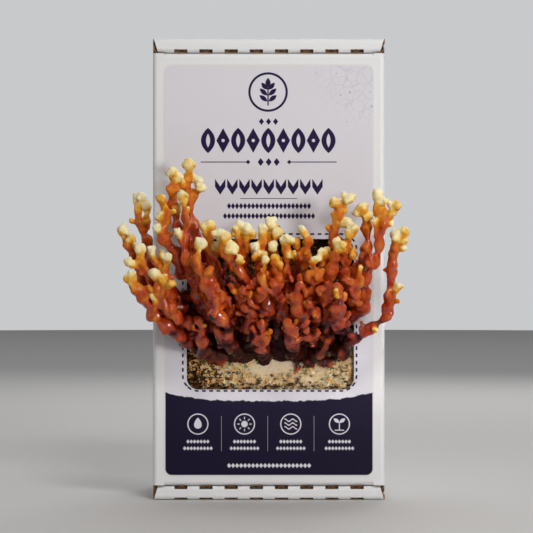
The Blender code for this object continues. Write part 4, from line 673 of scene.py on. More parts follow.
def lumps(x, z):
    """A smooth uneven relief between about -1 and 1, made of crossed waves."""
    first = np.sin(x / 5.3 + 1.3 * np.sin(z / 9.1)) * np.sin(z / 4.7 + 0.8 * np.sin(x / 7.9) + 0.6)
    second = np.sin(x / 11.7 - z / 13.9 + 2.0) * np.sin(z / 8.3 + x / 17.0)
    return 0.55 * first + 0.45 * second


def block_face_out(x, z):
    """How far in front of the lid the block's face lies: bulged in the window, leaning back above.

    Low in the window it swells out once more, and faces up a little.
    """
    inside = ramp((WINDOW[1] - 4.0 - np.abs(x)) / 8.0)
    bulge = BLOCK_BULGE * ramp((z - WINDOW[2]) / 8.0) * inside
    ledge = BLOCK_LEDGE * ramp((z - WINDOW[2] - 0.5) / 4.5) * (1.0 - ramp((z - 77.0) / 17.0)) * inside
    return bulge + ledge - BLOCK_FACE - BLOCK_RECESS * ramp((z - 95.0) / 70.0)


# Meshes


def new_mesh(name, points_mm, faces):
    mesh = bpy.data.meshes.new(name)
    mesh.from_pydata((MM * np.asarray(points_mm, float)).tolist(), [], faces)
    mesh.update()
    return mesh


def new_piece(name, data):
    """An object in the scene that holds a mesh, a light or a camera."""
    piece = bpy.data.objects.new(name, data)
    bpy.context.scene.collection.objects.link(piece)
    return piece


def points_of(mesh):
    """The mesh's points in millimetres."""
    flat = np.empty(3 * len(mesh.vertices))
    mesh.vertices.foreach_get("co", flat)
    return flat.reshape(-1, 3) / MM


def normals_of(mesh):
    flat = np.empty(3 * len(mesh.vertices))
    mesh.vertex_normals.foreach_get("vector", flat)
    return flat.reshape(-1, 3)


def move_points(mesh, points_mm):
    mesh.vertices.foreach_set("co", (MM * points_mm).ravel())
    mesh.update()


def store(mesh, name, values):
    """Keeps one number for each of the mesh's points, for the material to read."""
    attribute = mesh.attributes.new(name, "FLOAT", "POINT")
    attribute.data.foreach_set("value", np.asarray(values, np.float32))


def face_outwards(mesh):
    edit = bmesh.new()
    edit.from_mesh(mesh)
    bmesh.ops.recalc_face_normals(edit, faces=edit.faces)
    edit.to_mesh(mesh)
    edit.free()


def settle(piece):
    """Replaces the piece's mesh by what its modifiers make of it."""
    evaluated = piece.evaluated_get(bpy.context.evaluated_depsgraph_get())
    mesh = bpy.data.meshes.new_from_object(evaluated)
    piece.modifiers.clear()
    piece.data = mesh


def combine(piece, others, operation):
    """Joins others to a piece, or cuts them from it, one by one."""
    for other in others:
        boolean = piece.modifiers.new(operation.lower(), "BOOLEAN")
        boolean.operation = operation
        boolean.solver = "EXACT"
        boolean.object = other
        settle(piece)
        bpy.data.objects.remove(other, do_unlink=True)


def place_piece(piece, materials, nodes):
    """Gives a finished piece its materials, and ties it to the CAD nodes it stands for."""
    slots = piece.data.materials
    for index, material in enumerate(materials):
        if index < len(slots):
            slots[index] = material
        else:
            slots.append(material)
    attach(piece, "root")
    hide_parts(*nodes)


def skin(rings):
    """Points and faces of a closed surface over two parameters, which ring and where round it.

    The rings have equal counts of points, and a fan to the mean of its points closes each end.
    """
    rows, count = rings.shape[:2]
    points = np.vstack([rings.reshape(-1, 3), rings[0].mean(axis=0), rings[-1].mean(axis=0)])
    ring = count * np.arange(rows - 1)[:, None]
    corner = np.arange(count)[None, :]
    following = (corner + 1) % count
    above = ring + count
    quads = np.stack([ring + corner, ring + following, above + following, above + corner], axis=-1)
    first_fan = np.stack([np.full(count, rows * count), following[0], corner[0]], axis=1)
    last = (rows - 1) * count
    last_fan = np.stack([np.full(count, rows * count + 1), last + corner[0], last + following[0]], axis=1)
    return points, quads.reshape(-1, 4).tolist() + first_fan.tolist() + last_fan.tolist()


def joined(surfaces):
    """Several (points, faces) surfaces as one."""
    points, faces, base = [], [], 0
    for part_points, part_faces in surfaces:
        points.append(part_points)
        faces += [[base + index for index in face] for face in part_faces]
        base += len(part_points)
    return np.vstack(points), faces


# Carton


def rounded_route(corners, radius):
    """A polyline with an arc at each corner: tangent to both sides, radius that of the board's middle."""
    corners = np.array(corners, float)
    route = [corners[:1]]
    for before, corner, after in zip(corners, corners[1:], corners[2:]):
        entry, leave = unit(before - corner), unit(after - corner)
        half_angle = math.acos(np.clip(entry @ leave, -1.0, 1.0)) / 2
        reach = radius / math.tan(half_angle)
        middle = corner + unit(entry + leave) * radius / math.sin(half_angle)
        start = corner + reach * entry - middle
        end = corner + reach * leave - middle
        share = np.linspace(0.0, 1.0, FOLD_STEPS + 1)[:, None]
        turn = math.pi - 2 * half_angle
        arc = np.sin((1 - share) * turn) * start + np.sin(share * turn) * end
        route.append(middle + arc / math.sin(turn))
    route.append(corners[-1:])
    return np.vstack(route)


def extruded(name, outline, low, high, axis, materials=None):
    """A closed outline carried along one axis from low to high, with a material for each side."""
    outline = np.array(outline, float)
    count = len(outline)
    order = {"X": (2, 0, 1), "Y": (0, 2, 1), "Z": (0, 1, 2)}[axis]
    ends = [np.column_stack([outline, np.full(count, level)])[:, order] for level in (low, high)]
    index = np.arange(count)
    following = (index + 1) % count
    faces = np.stack([index, following, count + following, count + index], axis=1).tolist()
    faces += [index.tolist(), (index + count).tolist()]
    mesh = new_mesh(name, np.vstack(ends), faces)
    sides = [RAW] * count if materials is None else list(materials)
    mesh.polygons.foreach_set("material_index", sides + [RAW, RAW])
    face_outwards(mesh)
    piece = new_piece(name, mesh)
    for _ in range(3):
        mesh.materials.append(None)
    return piece


def box(name, x, y, z):
    outline = [(x[0], y[0]), (x[1], y[0]), (x[1], y[1]), (x[0], y[1])]
    return extruded(name, outline, z[0], z[1], "Z")


def board_strip(name, corners, low, high, axis, board, radius, outside=1):
    """Folded board: a rounded route of its middle, offset by half its thickness to either side."""
    route = rounded_route(corners, radius)
    heading = np.gradient(route, axis=0)
    # a sample between a flat and an arc takes the flat's own heading
    steps = np.diff(route, axis=0)
    flat = lengths(steps) > 2 * radius / FOLD_STEPS
    heading[:-1][flat] = steps[flat]
    heading[1:][flat] = steps[flat]
    heading = unit(heading)
    normal = outside * np.column_stack([-heading[:, 1], heading[:, 0]])
    outline = np.vstack([route + board / 2 * normal, (route - board / 2 * normal)[::-1]])
    count = len(route)
    materials = [OUTSIDE] * (count - 1) + [RAW] + [INSIDE] * (count - 1) + [RAW]
    return extruded(name, outline, low, high, axis, materials)


def rounded_rectangle(left, right, low, high, radius, steps=8, side_steps=1):
    """An outline of straight sides and quarter circles, with as many points whatever its size."""
    outline = []
    centres = [(right, high, -1, -1), (left, high, 1, -1), (left, low, 1, 1), (right, low, -1, 1)]
    for quarter, (a, b, inwards_a, inwards_b) in enumerate(centres):
        angle = math.pi / 2 * (quarter + np.linspace(0.0, 1.0, steps + 1))
        centre = np.array([a + inwards_a * radius, b + inwards_b * radius])
        outline.append(centre + radius * np.column_stack([np.cos(angle), np.sin(angle)]))
    points = []
    for quarter in range(4):
        arc, following = outline[quarter], outline[(quarter + 1) % 4]
        share = (np.arange(1, side_steps) / side_steps)[:, None]
        points += [arc, arc[-1] + share * (following[0] - arc[-1])]
    return np.vstack(points)


def slit_cutters(front, heights):
    """Short slots through a crease, on both sides of the middle."""
    cutters = []
    for centre, side in itertools.product(SLIT_CENTRES, (-1, 1)):
        across = (side * centre - SLIT_LENGTH / 2, side * centre + SLIT_LENGTH / 2)
        cutters.append(box("slit", across, front, heights))
    return cutters


def make_carton(settings):
    """The folded sheet: a wrap round the carton, end walls rolled over double, and the flaps."""
    width, depth, height = settings.width / MM, settings.depth / MM, settings.height / MM
    board, fold = settings.board / MM, settings.fold / MM
    half = board / 2
    side, front = width / 2 - half, depth / 2 - half
    low, high = board + LAYER_GAP, height - board - LAYER_GAP

    def strip(name, corners, start, end, axis, outside=1):
        return board_strip(name, corners, start, end, axis, board, fold, outside)

    tuck = side - TUCK_SLANT
    corners = [
        (tuck, TUCK_DEPTH - front),
        (tuck, TUCK_KNEE - front),
        (side + TUCK_OUTSET, -front),
        (-side, -front),
        (-side, front),
        (side, front),
        (side, WALL_FRONT_SETBACK - front - half),
    ]
    carton = strip("carton", corners, low, high, "Z")
    trims, joins = [], []
    for turn in (lambda level: level, lambda level: height - level):
        def heights(start, end, turned=turn):
            return sorted((turned(start), turned(end)))

        # the lid ends in a fold to its dust flap, which is narrower than the lid
        lid_depth = (FACE - OVERSHOOT, FACE + board)
        trims.append(box("lid_trim", (-width, width), lid_depth, heights(-OVERSHOOT, LID_EDGE)))
        flap_half = width / 2 - LID_END_SETBACK
        trims.append(box("fold_trim", (-flap_half, flap_half), lid_depth, heights(0, LID_EDGE + 2 * fold)))
        tuck_across, tuck_depth = (tuck - half - OVERSHOOT, width), (FACE + board, FACE + TUCK_DEPTH + board)
        trims.append(box("tuck_trim", tuck_across, tuck_depth, heights(-OVERSHOOT, low + FLAP_RISE)))
        dust = [(FACE + DUST_FLAP_DEPTH, turn(LID_EDGE + half)), (-front, turn(LID_EDGE + half)),
                (-front, turn(LID_EDGE + 2 * fold))]
        upright = 1 if turn(0) == 0 else -1
        joins.append(strip("dust_flap", dust, -flap_half, flap_half, "X", upright))

        # side walls fold over into corner flaps
        for way, wall in ((-1, CORNER_FLAP_FRONT), (1, WALL_FRONT_SETBACK)):
            level, top = turn(low + half), turn(low + FLAP_RISE)
            flap = [(way * (width / 2 - CORNER_FLAP_REACH), level), (way * side, level), (way * side, top)]
            across = sorted((way * (side - half - 0.1), way * width))
            back = front - 2
            trims.append(box("wall_trim", across, (FACE + wall, back), heights(0, low + FLAP_RISE)))
            joins.append(strip("corner_flap", flap, FACE + wall, back, "Y", -way * upright))

        # the end wall goes forward from the back, rolls over at the rim and returns inside
        rim = FACE + RIM_SETBACK + half
        inner, outer = turn(RIM_HEIGHT - half), turn(half)
        roll = [(front - board, inner), (rim, inner), (rim, outer), (front, outer),
                (front, turn(half + END_WALL_RETURN))]
        end_wall = strip("end_wall", roll, -width / 2, width / 2, "X", -upright)
        cuts = []
        for way in (-1, 1):
            reach, wall = width / 2, board + LAYER_GAP
            across = sorted((way * (reach - wall), way * (reach + OVERSHOOT)))
            over_rim = RIM_HEIGHT + OVERSHOOT
            cuts.append(box("side_trim", across, (rim + half, depth), heights(wall, over_rim)))
            cuts.append(box("back_trim", across, (front - half - 0.1, depth), heights(wall, height / 2)))
            mitre = [(0.7, -OVERSHOOT), (0.7, 0.5), (RIM_MITRE, RIM_HEIGHT), (RIM_MITRE, over_rim),
                     (-OVERSHOOT, over_rim), (-OVERSHOOT, -OVERSHOOT)]
            outline = [(way * (reach - inset), turn(level)) for inset, level in mitre]
            cuts.append(extruded("mitre", outline, FACE - 5, rim + half, "Y"))
        crease = (FACE - 2, rim + 2.0)
        cuts += slit_cutters(crease, heights(RIM_HEIGHT - SLIT_WIDTH, RIM_HEIGHT + OVERSHOOT))
        if upright == 1:
            cuts += slit_cutters(crease, heights(-OVERSHOOT, SLIT_WIDTH - 0.7))
        combine(end_wall, cuts, "DIFFERENCE")
        joins.append(end_wall)
    window = rounded_rectangle(*WINDOW, WINDOW_CORNER)
    trims.append(extruded("window_cut", window, FACE - 5, FACE + 2 * board, "Y"))
    combine(carton, trims, "DIFFERENCE")
    combine(carton, joins, "UNION")
    return carton


def draw_board_white(settings):
    """Clay-coated white board: faint flutes behind it, a soft mottle, and duller scuffed folds."""
    finish = Finish(bpy.data.materials.new("white_board"))
    vector, (x, y, _) = finish.place()
    across, _, _ = finish.facing()
    flute = ((x + across * (y - x)) * (2 * math.pi / FLUTE_PITCH)).sine() * 0.5 + 0.5
    mottle = finish.noise(vector, 22.0, 4.0)
    fibre = finish.noise(finish.stretched(vector, (1.0, 1.0, 0.25)), 0.5, 2.0)
    half_width, half_depth = settings.width / MM / 2, settings.depth / MM / 2
    fold = ((abs(x) - (half_width - 2.2)).clear() * (abs(y) - (half_depth - 2.2)).clear()).clear()
    scuff = (fold * (finish.noise(vector, 3.0, 4.0) - 0.35) * 1.4).clear()
    shade = (mottle - 0.5) * 0.06 + (flute - 0.5) * 0.016 + (fibre - 0.5) * 0.03
    colour = finish.mottled((shade + 0.5).clear(), settings.white, 0.92, 1.08)
    colour = finish.mix(scuff * 0.35, colour, (0.55, 0.53, 0.50))
    height = flute * 0.35 + fibre * 0.12 + mottle * 0.5
    return finish.finished({
        "Base Color": colour,
        "Roughness": (0.42 + mottle * 0.12 + scuff * 0.2).clear(),
        "Normal": finish.bump(height, 0.12, 0.5),
        "Specular IOR Level": 0.42,
    })


def draw_board_kraft(settings):
    """Uncoated brown liner with long fibres."""
    finish = Finish(bpy.data.materials.new("kraft_liner"))
    vector, _ = finish.place()
    fibre = finish.noise(finish.stretched(vector, (1.0, 1.0, 0.2)), 0.7, 4.0)
    cloud = finish.noise(vector, 14.0, 3.0)
    return finish.finished({
        "Base Color": finish.mottled((fibre * 0.6 + cloud * 0.4).clear(), settings.kraft, 0.78, 1.2),
        "Roughness": 0.85,
        "Normal": finish.bump(fibre, 0.15, 0.6),
    })


def draw_board_raw(settings):
    """A cut edge: two liners with a fluted layer between them; the flutes' hollows and a wall's inner side
    are painted shade.
    """
    finish = Finish(bpy.data.materials.new("raw_edge"))
    vector, (x, y, z) = finish.place()
    across, along, _ = finish.facing()
    half_width = settings.width / MM / 2
    # which way the board is thick: through a wall at the sides, up through a rim, else back from the lid
    wall = along * ((abs(x) - (half_width - 4.0)) * 4).clear()
    rim = along - wall
    way = x + (across + wall).least(1.0) * (z - x)
    wave = (way * (2 * math.pi / FLUTE_PITCH)).sine() * 0.95
    depth = (y - (FACE + 1.4)).wrapped(5.6)
    depth = depth + wall * ((abs(x) - (half_width - 1.4)) - depth) + rim * ((z - 1.4).wrapped(6.2) - depth)
    paper = ((0.42 - abs(depth - wave)) * 4.0).clear().most(((abs(depth) - 1.0) * 5.0).clear())
    ragged = finish.noise(vector, 0.8, 3.0)
    # painted shade: a wall's cut edge darkens towards the carton's inside
    inner = wall * ((half_width - 2.2 - abs(x)) * 1.5).clear()
    # painted shade: the hollows between the flutes and liners go near-black
    hollow_shade = ((1 - paper) * 0.85 + (ragged - 0.5) * 0.5 + inner).clear()
    return finish.finished({
        "Base Color": finish.mottled(hollow_shade, settings.raw, 1.35, 0.12),
        "Roughness": 0.9,
        "Normal": finish.bump(1 - hollow_shade, 0.6, 0.8),
    })


# Label


def make_label():
    """Thin paper round the window.

    Where round the outline and how far from the window's edge to the label's edge are the two
    parameters; each point lies between like points of the two rounded outlines.
    """
    inner = rounded_rectangle(*WINDOW, WINDOW_CORNER, steps=10, side_steps=24)
    outer = rounded_rectangle(-LABEL_HALF_WIDTH, LABEL_HALF_WIDTH, LABEL_LOW, LABEL_HIGH, LABEL_CORNER,
                              steps=10, side_steps=24)
    shares = np.linspace(0.0, 1.0, 13)[:, None, None]
    flat = inner + shares * (outer - inner)
    layers = []
    for level, order in ((FACE - LABEL_GAP, 1), (FACE - LABEL_GAP - LABEL_THICKNESS, -1)):
        layers.append(np.dstack([flat[..., 0], np.full(flat.shape[:2], level), flat[..., 1]])[::order])
    rings = np.concatenate(layers)
    total, count = rings.shape[:2]
    ring = np.arange(total)[:, None]
    corner = np.arange(count)[None, :]
    here, after = ring * count, (ring + 1) % total * count
    following = (corner + 1) % count
    quads = np.stack([here + corner, here + following, after + following, after + corner], axis=-1)
    mesh = new_mesh("label", rings.reshape(-1, 3), quads.reshape(-1, 4).tolist())
    face_outwards(mesh)
    return new_piece("label", mesh)


def inked(distance, soft=0.09):
    """Ink where a signed distance in millimetres is below zero, with a soft edge."""
    return (0.5 - distance * (0.5 / soft)).clear()


def bar(x, z, centre_x, centre_z, half_width, half_height):
    return (abs(x - centre_x) - half_width).most(abs(z - centre_z) - half_height)


def together(figure, *others):
    """Several figures as one: the least of their signed distances."""
    for other in others:
        figure = figure.least(other)
    return figure


def length_of(across, up):
    return (across * across + up * up).root()


def disc(x, z, centre_x, centre_z, radius):
    return length_of(x - centre_x, z - centre_z) - radius


def leaf(along, across, length, width):
    """Half width is a parabola: width/2 times 1 less the square of the place along the leaf."""
    share = along * (2 / length)
    return abs(across) - (1 - share * share) * (width / 2)


def diamond(across, up, half_width, half_height):
    return (abs(across) / half_width + abs(up) / half_height - 1) * min(half_width, half_height)


def draw_emblem(x, z):
    """A ring round a sprig: a stem with mirrored pairs of leaves and one at the tip."""
    middle_x, middle_z = -0.6, 265.2
    across, up = abs(x - middle_x), z - middle_z
    ring = abs(disc(x, z, middle_x, middle_z, 12.1)) - 0.75
    figure = ring.least(bar(across, up, 0.0, -2.4, 0.45, 6.4))
    for start, lean, length in ((-6.4, 38, 6.6), (-2.6, 42, 6.8), (1.2, 48, 6.0)):
        cosine, sine = math.cos(math.radians(lean)), math.sin(math.radians(lean))
        raised = up - start
        along = across * cosine + raised * sine - length / 2 - 0.5
        beside = raised * cosine - across * sine
        figure = figure.least(leaf(along, beside, length, 2.9).most(0.25 - across))
    return figure.least(leaf(up - 6.0, across, 6.4, 3.3))


def draw_ornaments(x, z):
    """Bands of ornament over the window: big leaves and lozenges, small lozenges, chevrons and rules."""
    # a tall row: a hollow leaf and a pierced lozenge by turns, nine in all
    pitch = 9.79
    middle, level = x + 0.45, z - 233.7
    cell = abs(middle.wrapped(2 * pitch))
    hollow_leaf = leaf(level, cell, 16.6, 9.2).most(0 - leaf(level, cell, 9.0, 2.6))
    beside = cell - pitch
    lozenge = diamond(beside, level, 4.4, 8.1).most(1.05 - length_of(beside, level))
    figure = hollow_leaf.least(lozenge).most(abs(middle) - 4.5 * pitch).most(abs(level) - 8.1)
    # a short row of three lozenges between two rules, and a smaller row over the tall row
    across, up = x + 0.2, z - 219.7
    row = diamond(across.wrapped(5.2), up, 2.0, 2.6).most(abs(across) - 7.4)
    rules = bar(abs(across), up, 29.2, 0.0, 15.0, 0.32).least(diamond(abs(across) - 13.4, up, 1.5, 1.5))
    small_row = diamond((x + 0.3).wrapped(4.6), z - 246.0, 1.7, 2.2).most(abs(x + 0.3) - 6.6)
    # chevrons that point down to the window, over a thin rule
    local, drop = (x + 0.1).wrapped(7.9), z - 203.5
    chevron = abs(drop - abs(local) * 1.5 + 2.4) * 0.55 - 1.45
    chevron = chevron.most(abs(local) - 3.4).most(abs(drop) - 5.1).most(abs(x + 0.1) - 35.5)
    return together(figure, row, rules, small_row, chevron, bar(x, z, -0.2, 196.0, 18.5, 0.22))


def draw_beads(x, z, middle, level, half_width, pitch, half_height):
    """A row of small lozenges that touch, in whole lozenges about as long as asked."""
    half_width = (round(half_width / pitch - 0.5) + 0.5) * pitch
    row = diamond((x - middle).wrapped(pitch), z - level, 0.52 * pitch, half_height)
    return row.most(abs(x - middle) - half_width)


def draw_cut_line(x, z):
    """Dashes along a rounded rectangle just outside the window, and a small pair of scissors."""
    left, right, low, high, corner = -56.0, 56.9, 70.9, 172.9, 10.0
    across = abs(x - (left + right) / 2) - (right - left) / 2 + corner
    up = abs(z - (low + high) / 2) - (high - low) / 2 + corner
    away = length_of(across.most(0), up.most(0))
    line = abs(away + across.most(up).least(0) - corner) - 0.58
    # along the sides a dash follows x or z, and round a corner their difference
    upright = ((across - up) * 50).clear()
    along = z * upright + x * (1 - upright)
    dashes = abs(along.wrapped(4.7)) - 1.25
    figure = line.most(dashes)
    level = 175.8
    for way in (-1, 1):
        ring = abs(disc(x, z, 6.0, level + 1.3 * way, 1.1)) - 0.35
        slope = (z - level) + (x - 2.2) * (0.34 * way)
        figure = figure.least(ring).least((abs(slope) - 0.38).most(abs(x - 1.4) - 4.0))
    return figure


def draw_band_figures(finish, x, z):
    """Pale figures on the dark band: four ringed signs over rows of beads, with rules between them."""
    figure = draw_beads(x, z, 0.1, 22.4, 28.5, 2.6, 1.6)
    centres, level = (-46.2, -15.9, 14.2, 45.8), 49.4
    for centre in centres:
        figure = figure.least(abs(disc(x, z, centre, level, 6.5)) - 0.36)
        for beads, half_width in ((38.0, 8.1), (33.6, 10.0)):
            figure = figure.least(draw_beads(x, z, centre, beads, half_width, 2.15, 1.35))
    for centre in (-30.9, -0.8, 29.3):
        figure = figure.least(bar(x, z, centre, 43.2, 0.06, 11.4))
    # a drop
    across, up = x - centres[0], z - level + 3.0
    share = (up / 7.4).clear()
    drop = (abs(across) - share.root() * (1 - share) * 6.4).most(0 - up).most(up - 7.0)
    # a sun
    across, up = x - centres[1], z - level
    angle = finish.math("ARCTAN2", up, across)
    away = length_of(across, up)
    rays = (abs(angle.wrapped(math.pi / 4)) * away - 0.32).most(abs(away - 3.9) - 0.75)
    sun = rays.least(away - 2.1)
    # waves
    across, up = x - centres[2], z - level
    swell = up - (across * 1.25).sine() * 0.75
    waves = (abs(swell.wrapped(2.5)) - 0.38).most(abs(across) - 4.1).most(abs(up) - 3.6)
    # a seedling
    across, up = abs(x - centres[3]), z - level
    seedling = bar(across, up, 0.0, -1.3, 0.35, 2.6).least(bar(across, up, 0.0, -4.0, 3.0, 0.3))
    cosine, sine = math.cos(0.62), math.sin(0.62)
    raised = up - 0.9
    leaves = leaf(across * cosine + raised * sine - 2.3, raised * cosine - across * sine, 4.6, 2.3)
    return together(figure, drop, sun, waves, seedling, leaves.most(0.0 - across))


def draw_label(settings):
    """Lavender paper with generic ornament, a rough-edged dark band and a dashed cut line."""
    finish = Finish(bpy.data.materials.new("label_print"))
    vector, (x, _, z) = finish.place()
    grain = finish.noise(vector, 0.35, 3.0)
    cloud = finish.noise(vector, 30.0, 2.0)
    colour = finish.mottled((cloud * 0.7 + grain * 0.3).clear(), settings.paper, 0.95, 1.05)
    # pale spores, thickest towards the upper right corner
    plane = finish.stretched(vector, (1.0, 0.0, 1.0))
    spores = finish.cells(plane, SPORE_SIZE) * SPORE_SIZE
    threads = finish.cells(plane, SPORE_SIZE, feature="DISTANCE_TO_EDGE") * SPORE_SIZE
    corner = (1 - length_of(x - 64.0, z - 277.0) / 40.0).clear()
    speckle = inked(spores - 0.8, 0.3) * 0.9 + inked(threads - 0.16, 0.12) * 0.35
    colour = finish.mix((speckle * (corner * 2.2).least(1.0)).clear(), colour, settings.faint)
    ink = draw_emblem(x, z).least(draw_ornaments(x, z)).least(draw_cut_line(x, z))
    for level, half_width in ((191.1, 28.0), (184.6, 30.6)):
        ink = ink.least(draw_beads(x, z, 0.05, level, half_width, 2.6, 2.1))
    colour = finish.mix(inked(ink), colour, settings.ink)
    # the band's upper edge: higher at both sides, with large and small tears
    side = abs(x) / 68.0
    flat = finish.stretched(vector, (1.0, 0.0, 0.0))
    tears = (finish.noise(flat, 7.0, 2.0) - 0.5) * 3.6 + (finish.noise(vector, 1.1, 3.0) - 0.5) * 1.6
    band = z - (64.3 + side * side * side * 5.6 + tears)
    pale = draw_band_figures(finish, x, z)
    printed = finish.mix(inked(pale, 0.11), settings.band, (0.72, 0.70, 0.76))
    covered = inked(band, 0.2)
    colour = finish.mix(covered, colour, printed)
    # an unprinted margin round the sheet
    reach = LABEL_HALF_WIDTH - LABEL_CORNER
    middle, tall = (LABEL_LOW + LABEL_HIGH) / 2, (LABEL_HIGH - LABEL_LOW) / 2 - LABEL_CORNER
    out_x, out_z = (abs(x) - reach).most(0), (abs(z - middle) - tall).most(0)
    edge = length_of(out_x, out_z) - (LABEL_CORNER - 0.85)
    colour = finish.mix(inked(0 - edge, 0.12), colour, settings.margin)
    solid = inked(ink).most(covered)
    return finish.finished({
        "Base Color": colour,
        "Roughness": (0.5 - solid * 0.12 + (grain - 0.5) * 0.1).clear(),
        "Normal": finish.bump(grain * 0.3 + cloud, 0.1, 0.35),
        "Specular IOR Level": 0.2,
    })


# Substrate block


def make_block(settings):
    """The sawdust block: a rounded upright box whose rings are level and whose face is finely grained.

    Where round the outline and the height are the two parameters. The front lies at
    block_face_out, the back is flat, and the top's corner is rounded and closed by shrinking rings.
    """
    corner = BLOCK_CORNER
    left, right = BLOCK_LEFT + corner, BLOCK_RIGHT - corner
    quarter = np.linspace(0.0, math.pi / 2, 9)[1:-1]
    front_x = np.arange(left, right, BLOCK_STEP)
    share = corner / (BLOCK_BACK - FACE)
    depth_share = np.linspace(share, 1 - share, 12)
    turn_in, turn_out = np.sin(quarter), 1 - np.cos(quarter)
    outline = np.vstack([
        np.column_stack([front_x, np.zeros(len(front_x))]),
        np.column_stack([right + corner * turn_in, share * turn_out]),
        np.column_stack([np.full(12, BLOCK_RIGHT), depth_share]),
        np.column_stack([right + corner * np.cos(quarter), 1 - share * (1 - np.sin(quarter))]),
        np.column_stack([np.linspace(right, left, 24), np.ones(24)]),
        np.column_stack([left - corner * turn_in, 1 - share * turn_out]),
        np.column_stack([np.full(12, BLOCK_LEFT), depth_share[::-1]]),
        np.column_stack([left - corner * np.cos(quarter), share * (1 - np.sin(quarter))]),
    ])
    levels = np.concatenate([
        np.linspace(BLOCK_LOW, WINDOW[2] - 4, 9)[:-1],
        np.arange(WINDOW[2] - 4, WINDOW[3] + 3, BLOCK_STEP),
        np.linspace(WINDOW[3] + 3, BLOCK_HIGH - 5, 12),
    ])
    x = np.broadcast_to(outline[:, 0], (len(levels), len(outline)))
    z = np.broadcast_to(levels[:, None], x.shape)
    front = FACE - block_face_out(x, z)
    y = front + outline[:, 1] * (BLOCK_BACK - front)
    y = y - BLOCK_LUMP * (lumps(x, z) - 1.0) * (1.0 - outline[:, 1])
    rings = np.dstack([x, y, z])
    middle = np.array([(BLOCK_LEFT + BLOCK_RIGHT) / 2, 0.0, 0.0])
    top = []
    for shrink, rise in ((0.985, 2.5), (0.95, 4.2), (0.8, 5.0), (0.5, 5.0), (0.2, 5.0)):
        ring = middle + shrink * (rings[-1] - middle)
        ring[:, 2] = BLOCK_HIGH - 5 + rise - 2.0 * lumps(ring[:, 0], ring[:, 1])
        top.append(ring)
    under = middle + 0.5 * (rings[0] - middle)
    under[:, 2] = BLOCK_LOW
    points, faces = skin(np.concatenate([[under], rings, top]))
    mesh = new_mesh("substrate_block", points, faces)
    face_outwards(mesh)
    roughen_block(mesh, settings.grain / MM)
    chips, number = scatter_chips(np.random.default_rng(CHIP_SEED))
    chip_mesh = new_mesh("sawdust_chips", *chips)
    face_outwards(chip_mesh)
    store(chip_mesh, "chip", number + 1.0)
    block, loose = new_piece("substrate_block", mesh), new_piece("sawdust_chips", chip_mesh)
    with bpy.context.temp_override(active_object=block, selected_editable_objects=[block, loose]):
        bpy.ops.object.join()
    return block


def felt_patches(x, z):
    """A smooth patch of felt below the crust's middle, and a broad thin one to its right."""
    smooth = 1.0 - ramp((np.hypot((x - 1.0) / 17.0, (z - 86.5 - 0.1 * x) / 6.0) - 0.75) / 0.5)
    broad = 1.0 - ramp((np.hypot((x - 31.0) / 24.0, (z - 84.0) / 10.0) - 0.6) / 0.6)
    return smooth, broad


def roughen_block(mesh, grain):
    """Raises every grain as a small dome and stores what the material needs.

    Height = grain domes, weaker under felt, + broad clods; felt is broad noise above a level,
    raised in two patches. Pit shade is painted shade in the seams between grains.
    """
    points = points_of(mesh)
    normals = normals_of(mesh)
    near, next_near, number = nearest_grains(points * (1.0, 1.0, 1.25), grain, 11)
    small_near, small_next, small_number = nearest_grains(points, grain * 0.45, 12)
    seam = ramp((next_near - near) / 0.35)
    small_seam = ramp((small_next - small_near) / 0.4)
    clods = lattice_noise(points, 9.0, 13)
    x, z = points[:, 0], points[:, 2]
    smooth, broad = felt_patches(x, z)
    felt = 0.05 + 0.9 * lattice_noise(points, 7.0, 14) + 0.6 * lattice_noise(points, 2.6, 15)
    # felt thins out left of x = -20, part of the painted shade on the block's left side
    felt = np.maximum(ramp(felt + 0.7 * smooth + 0.45 * broad - 0.4 * ramp((-20.0 - x) / 12.0)), smooth)
    rough = 1.0 - 0.8 * felt
    height = rough * (0.9 * (seam - 0.6) + 0.35 * (small_seam - 0.5) + 1.3 * (number - 0.5)) + 0.9 * clods
    height += 0.12 * felt * lattice_noise(points, 1.1, 16)
    fine = (z > WINDOW[2] - 4) & (z < WINDOW[3] + 3) & (normals[:, 1] < -0.4)
    move_points(mesh, points + normals * (np.where(fine, height, 0.4 * clods) - 0.25)[:, None])
    store(mesh, "grain", number)
    store(mesh, "crumb", small_number)
    store(mesh, "felt", felt)
    # painted shade in the seams between grains, less where felt covers them
    store(mesh, "pit", (1.0 - seam * (0.55 + 0.45 * small_seam)) * rough)


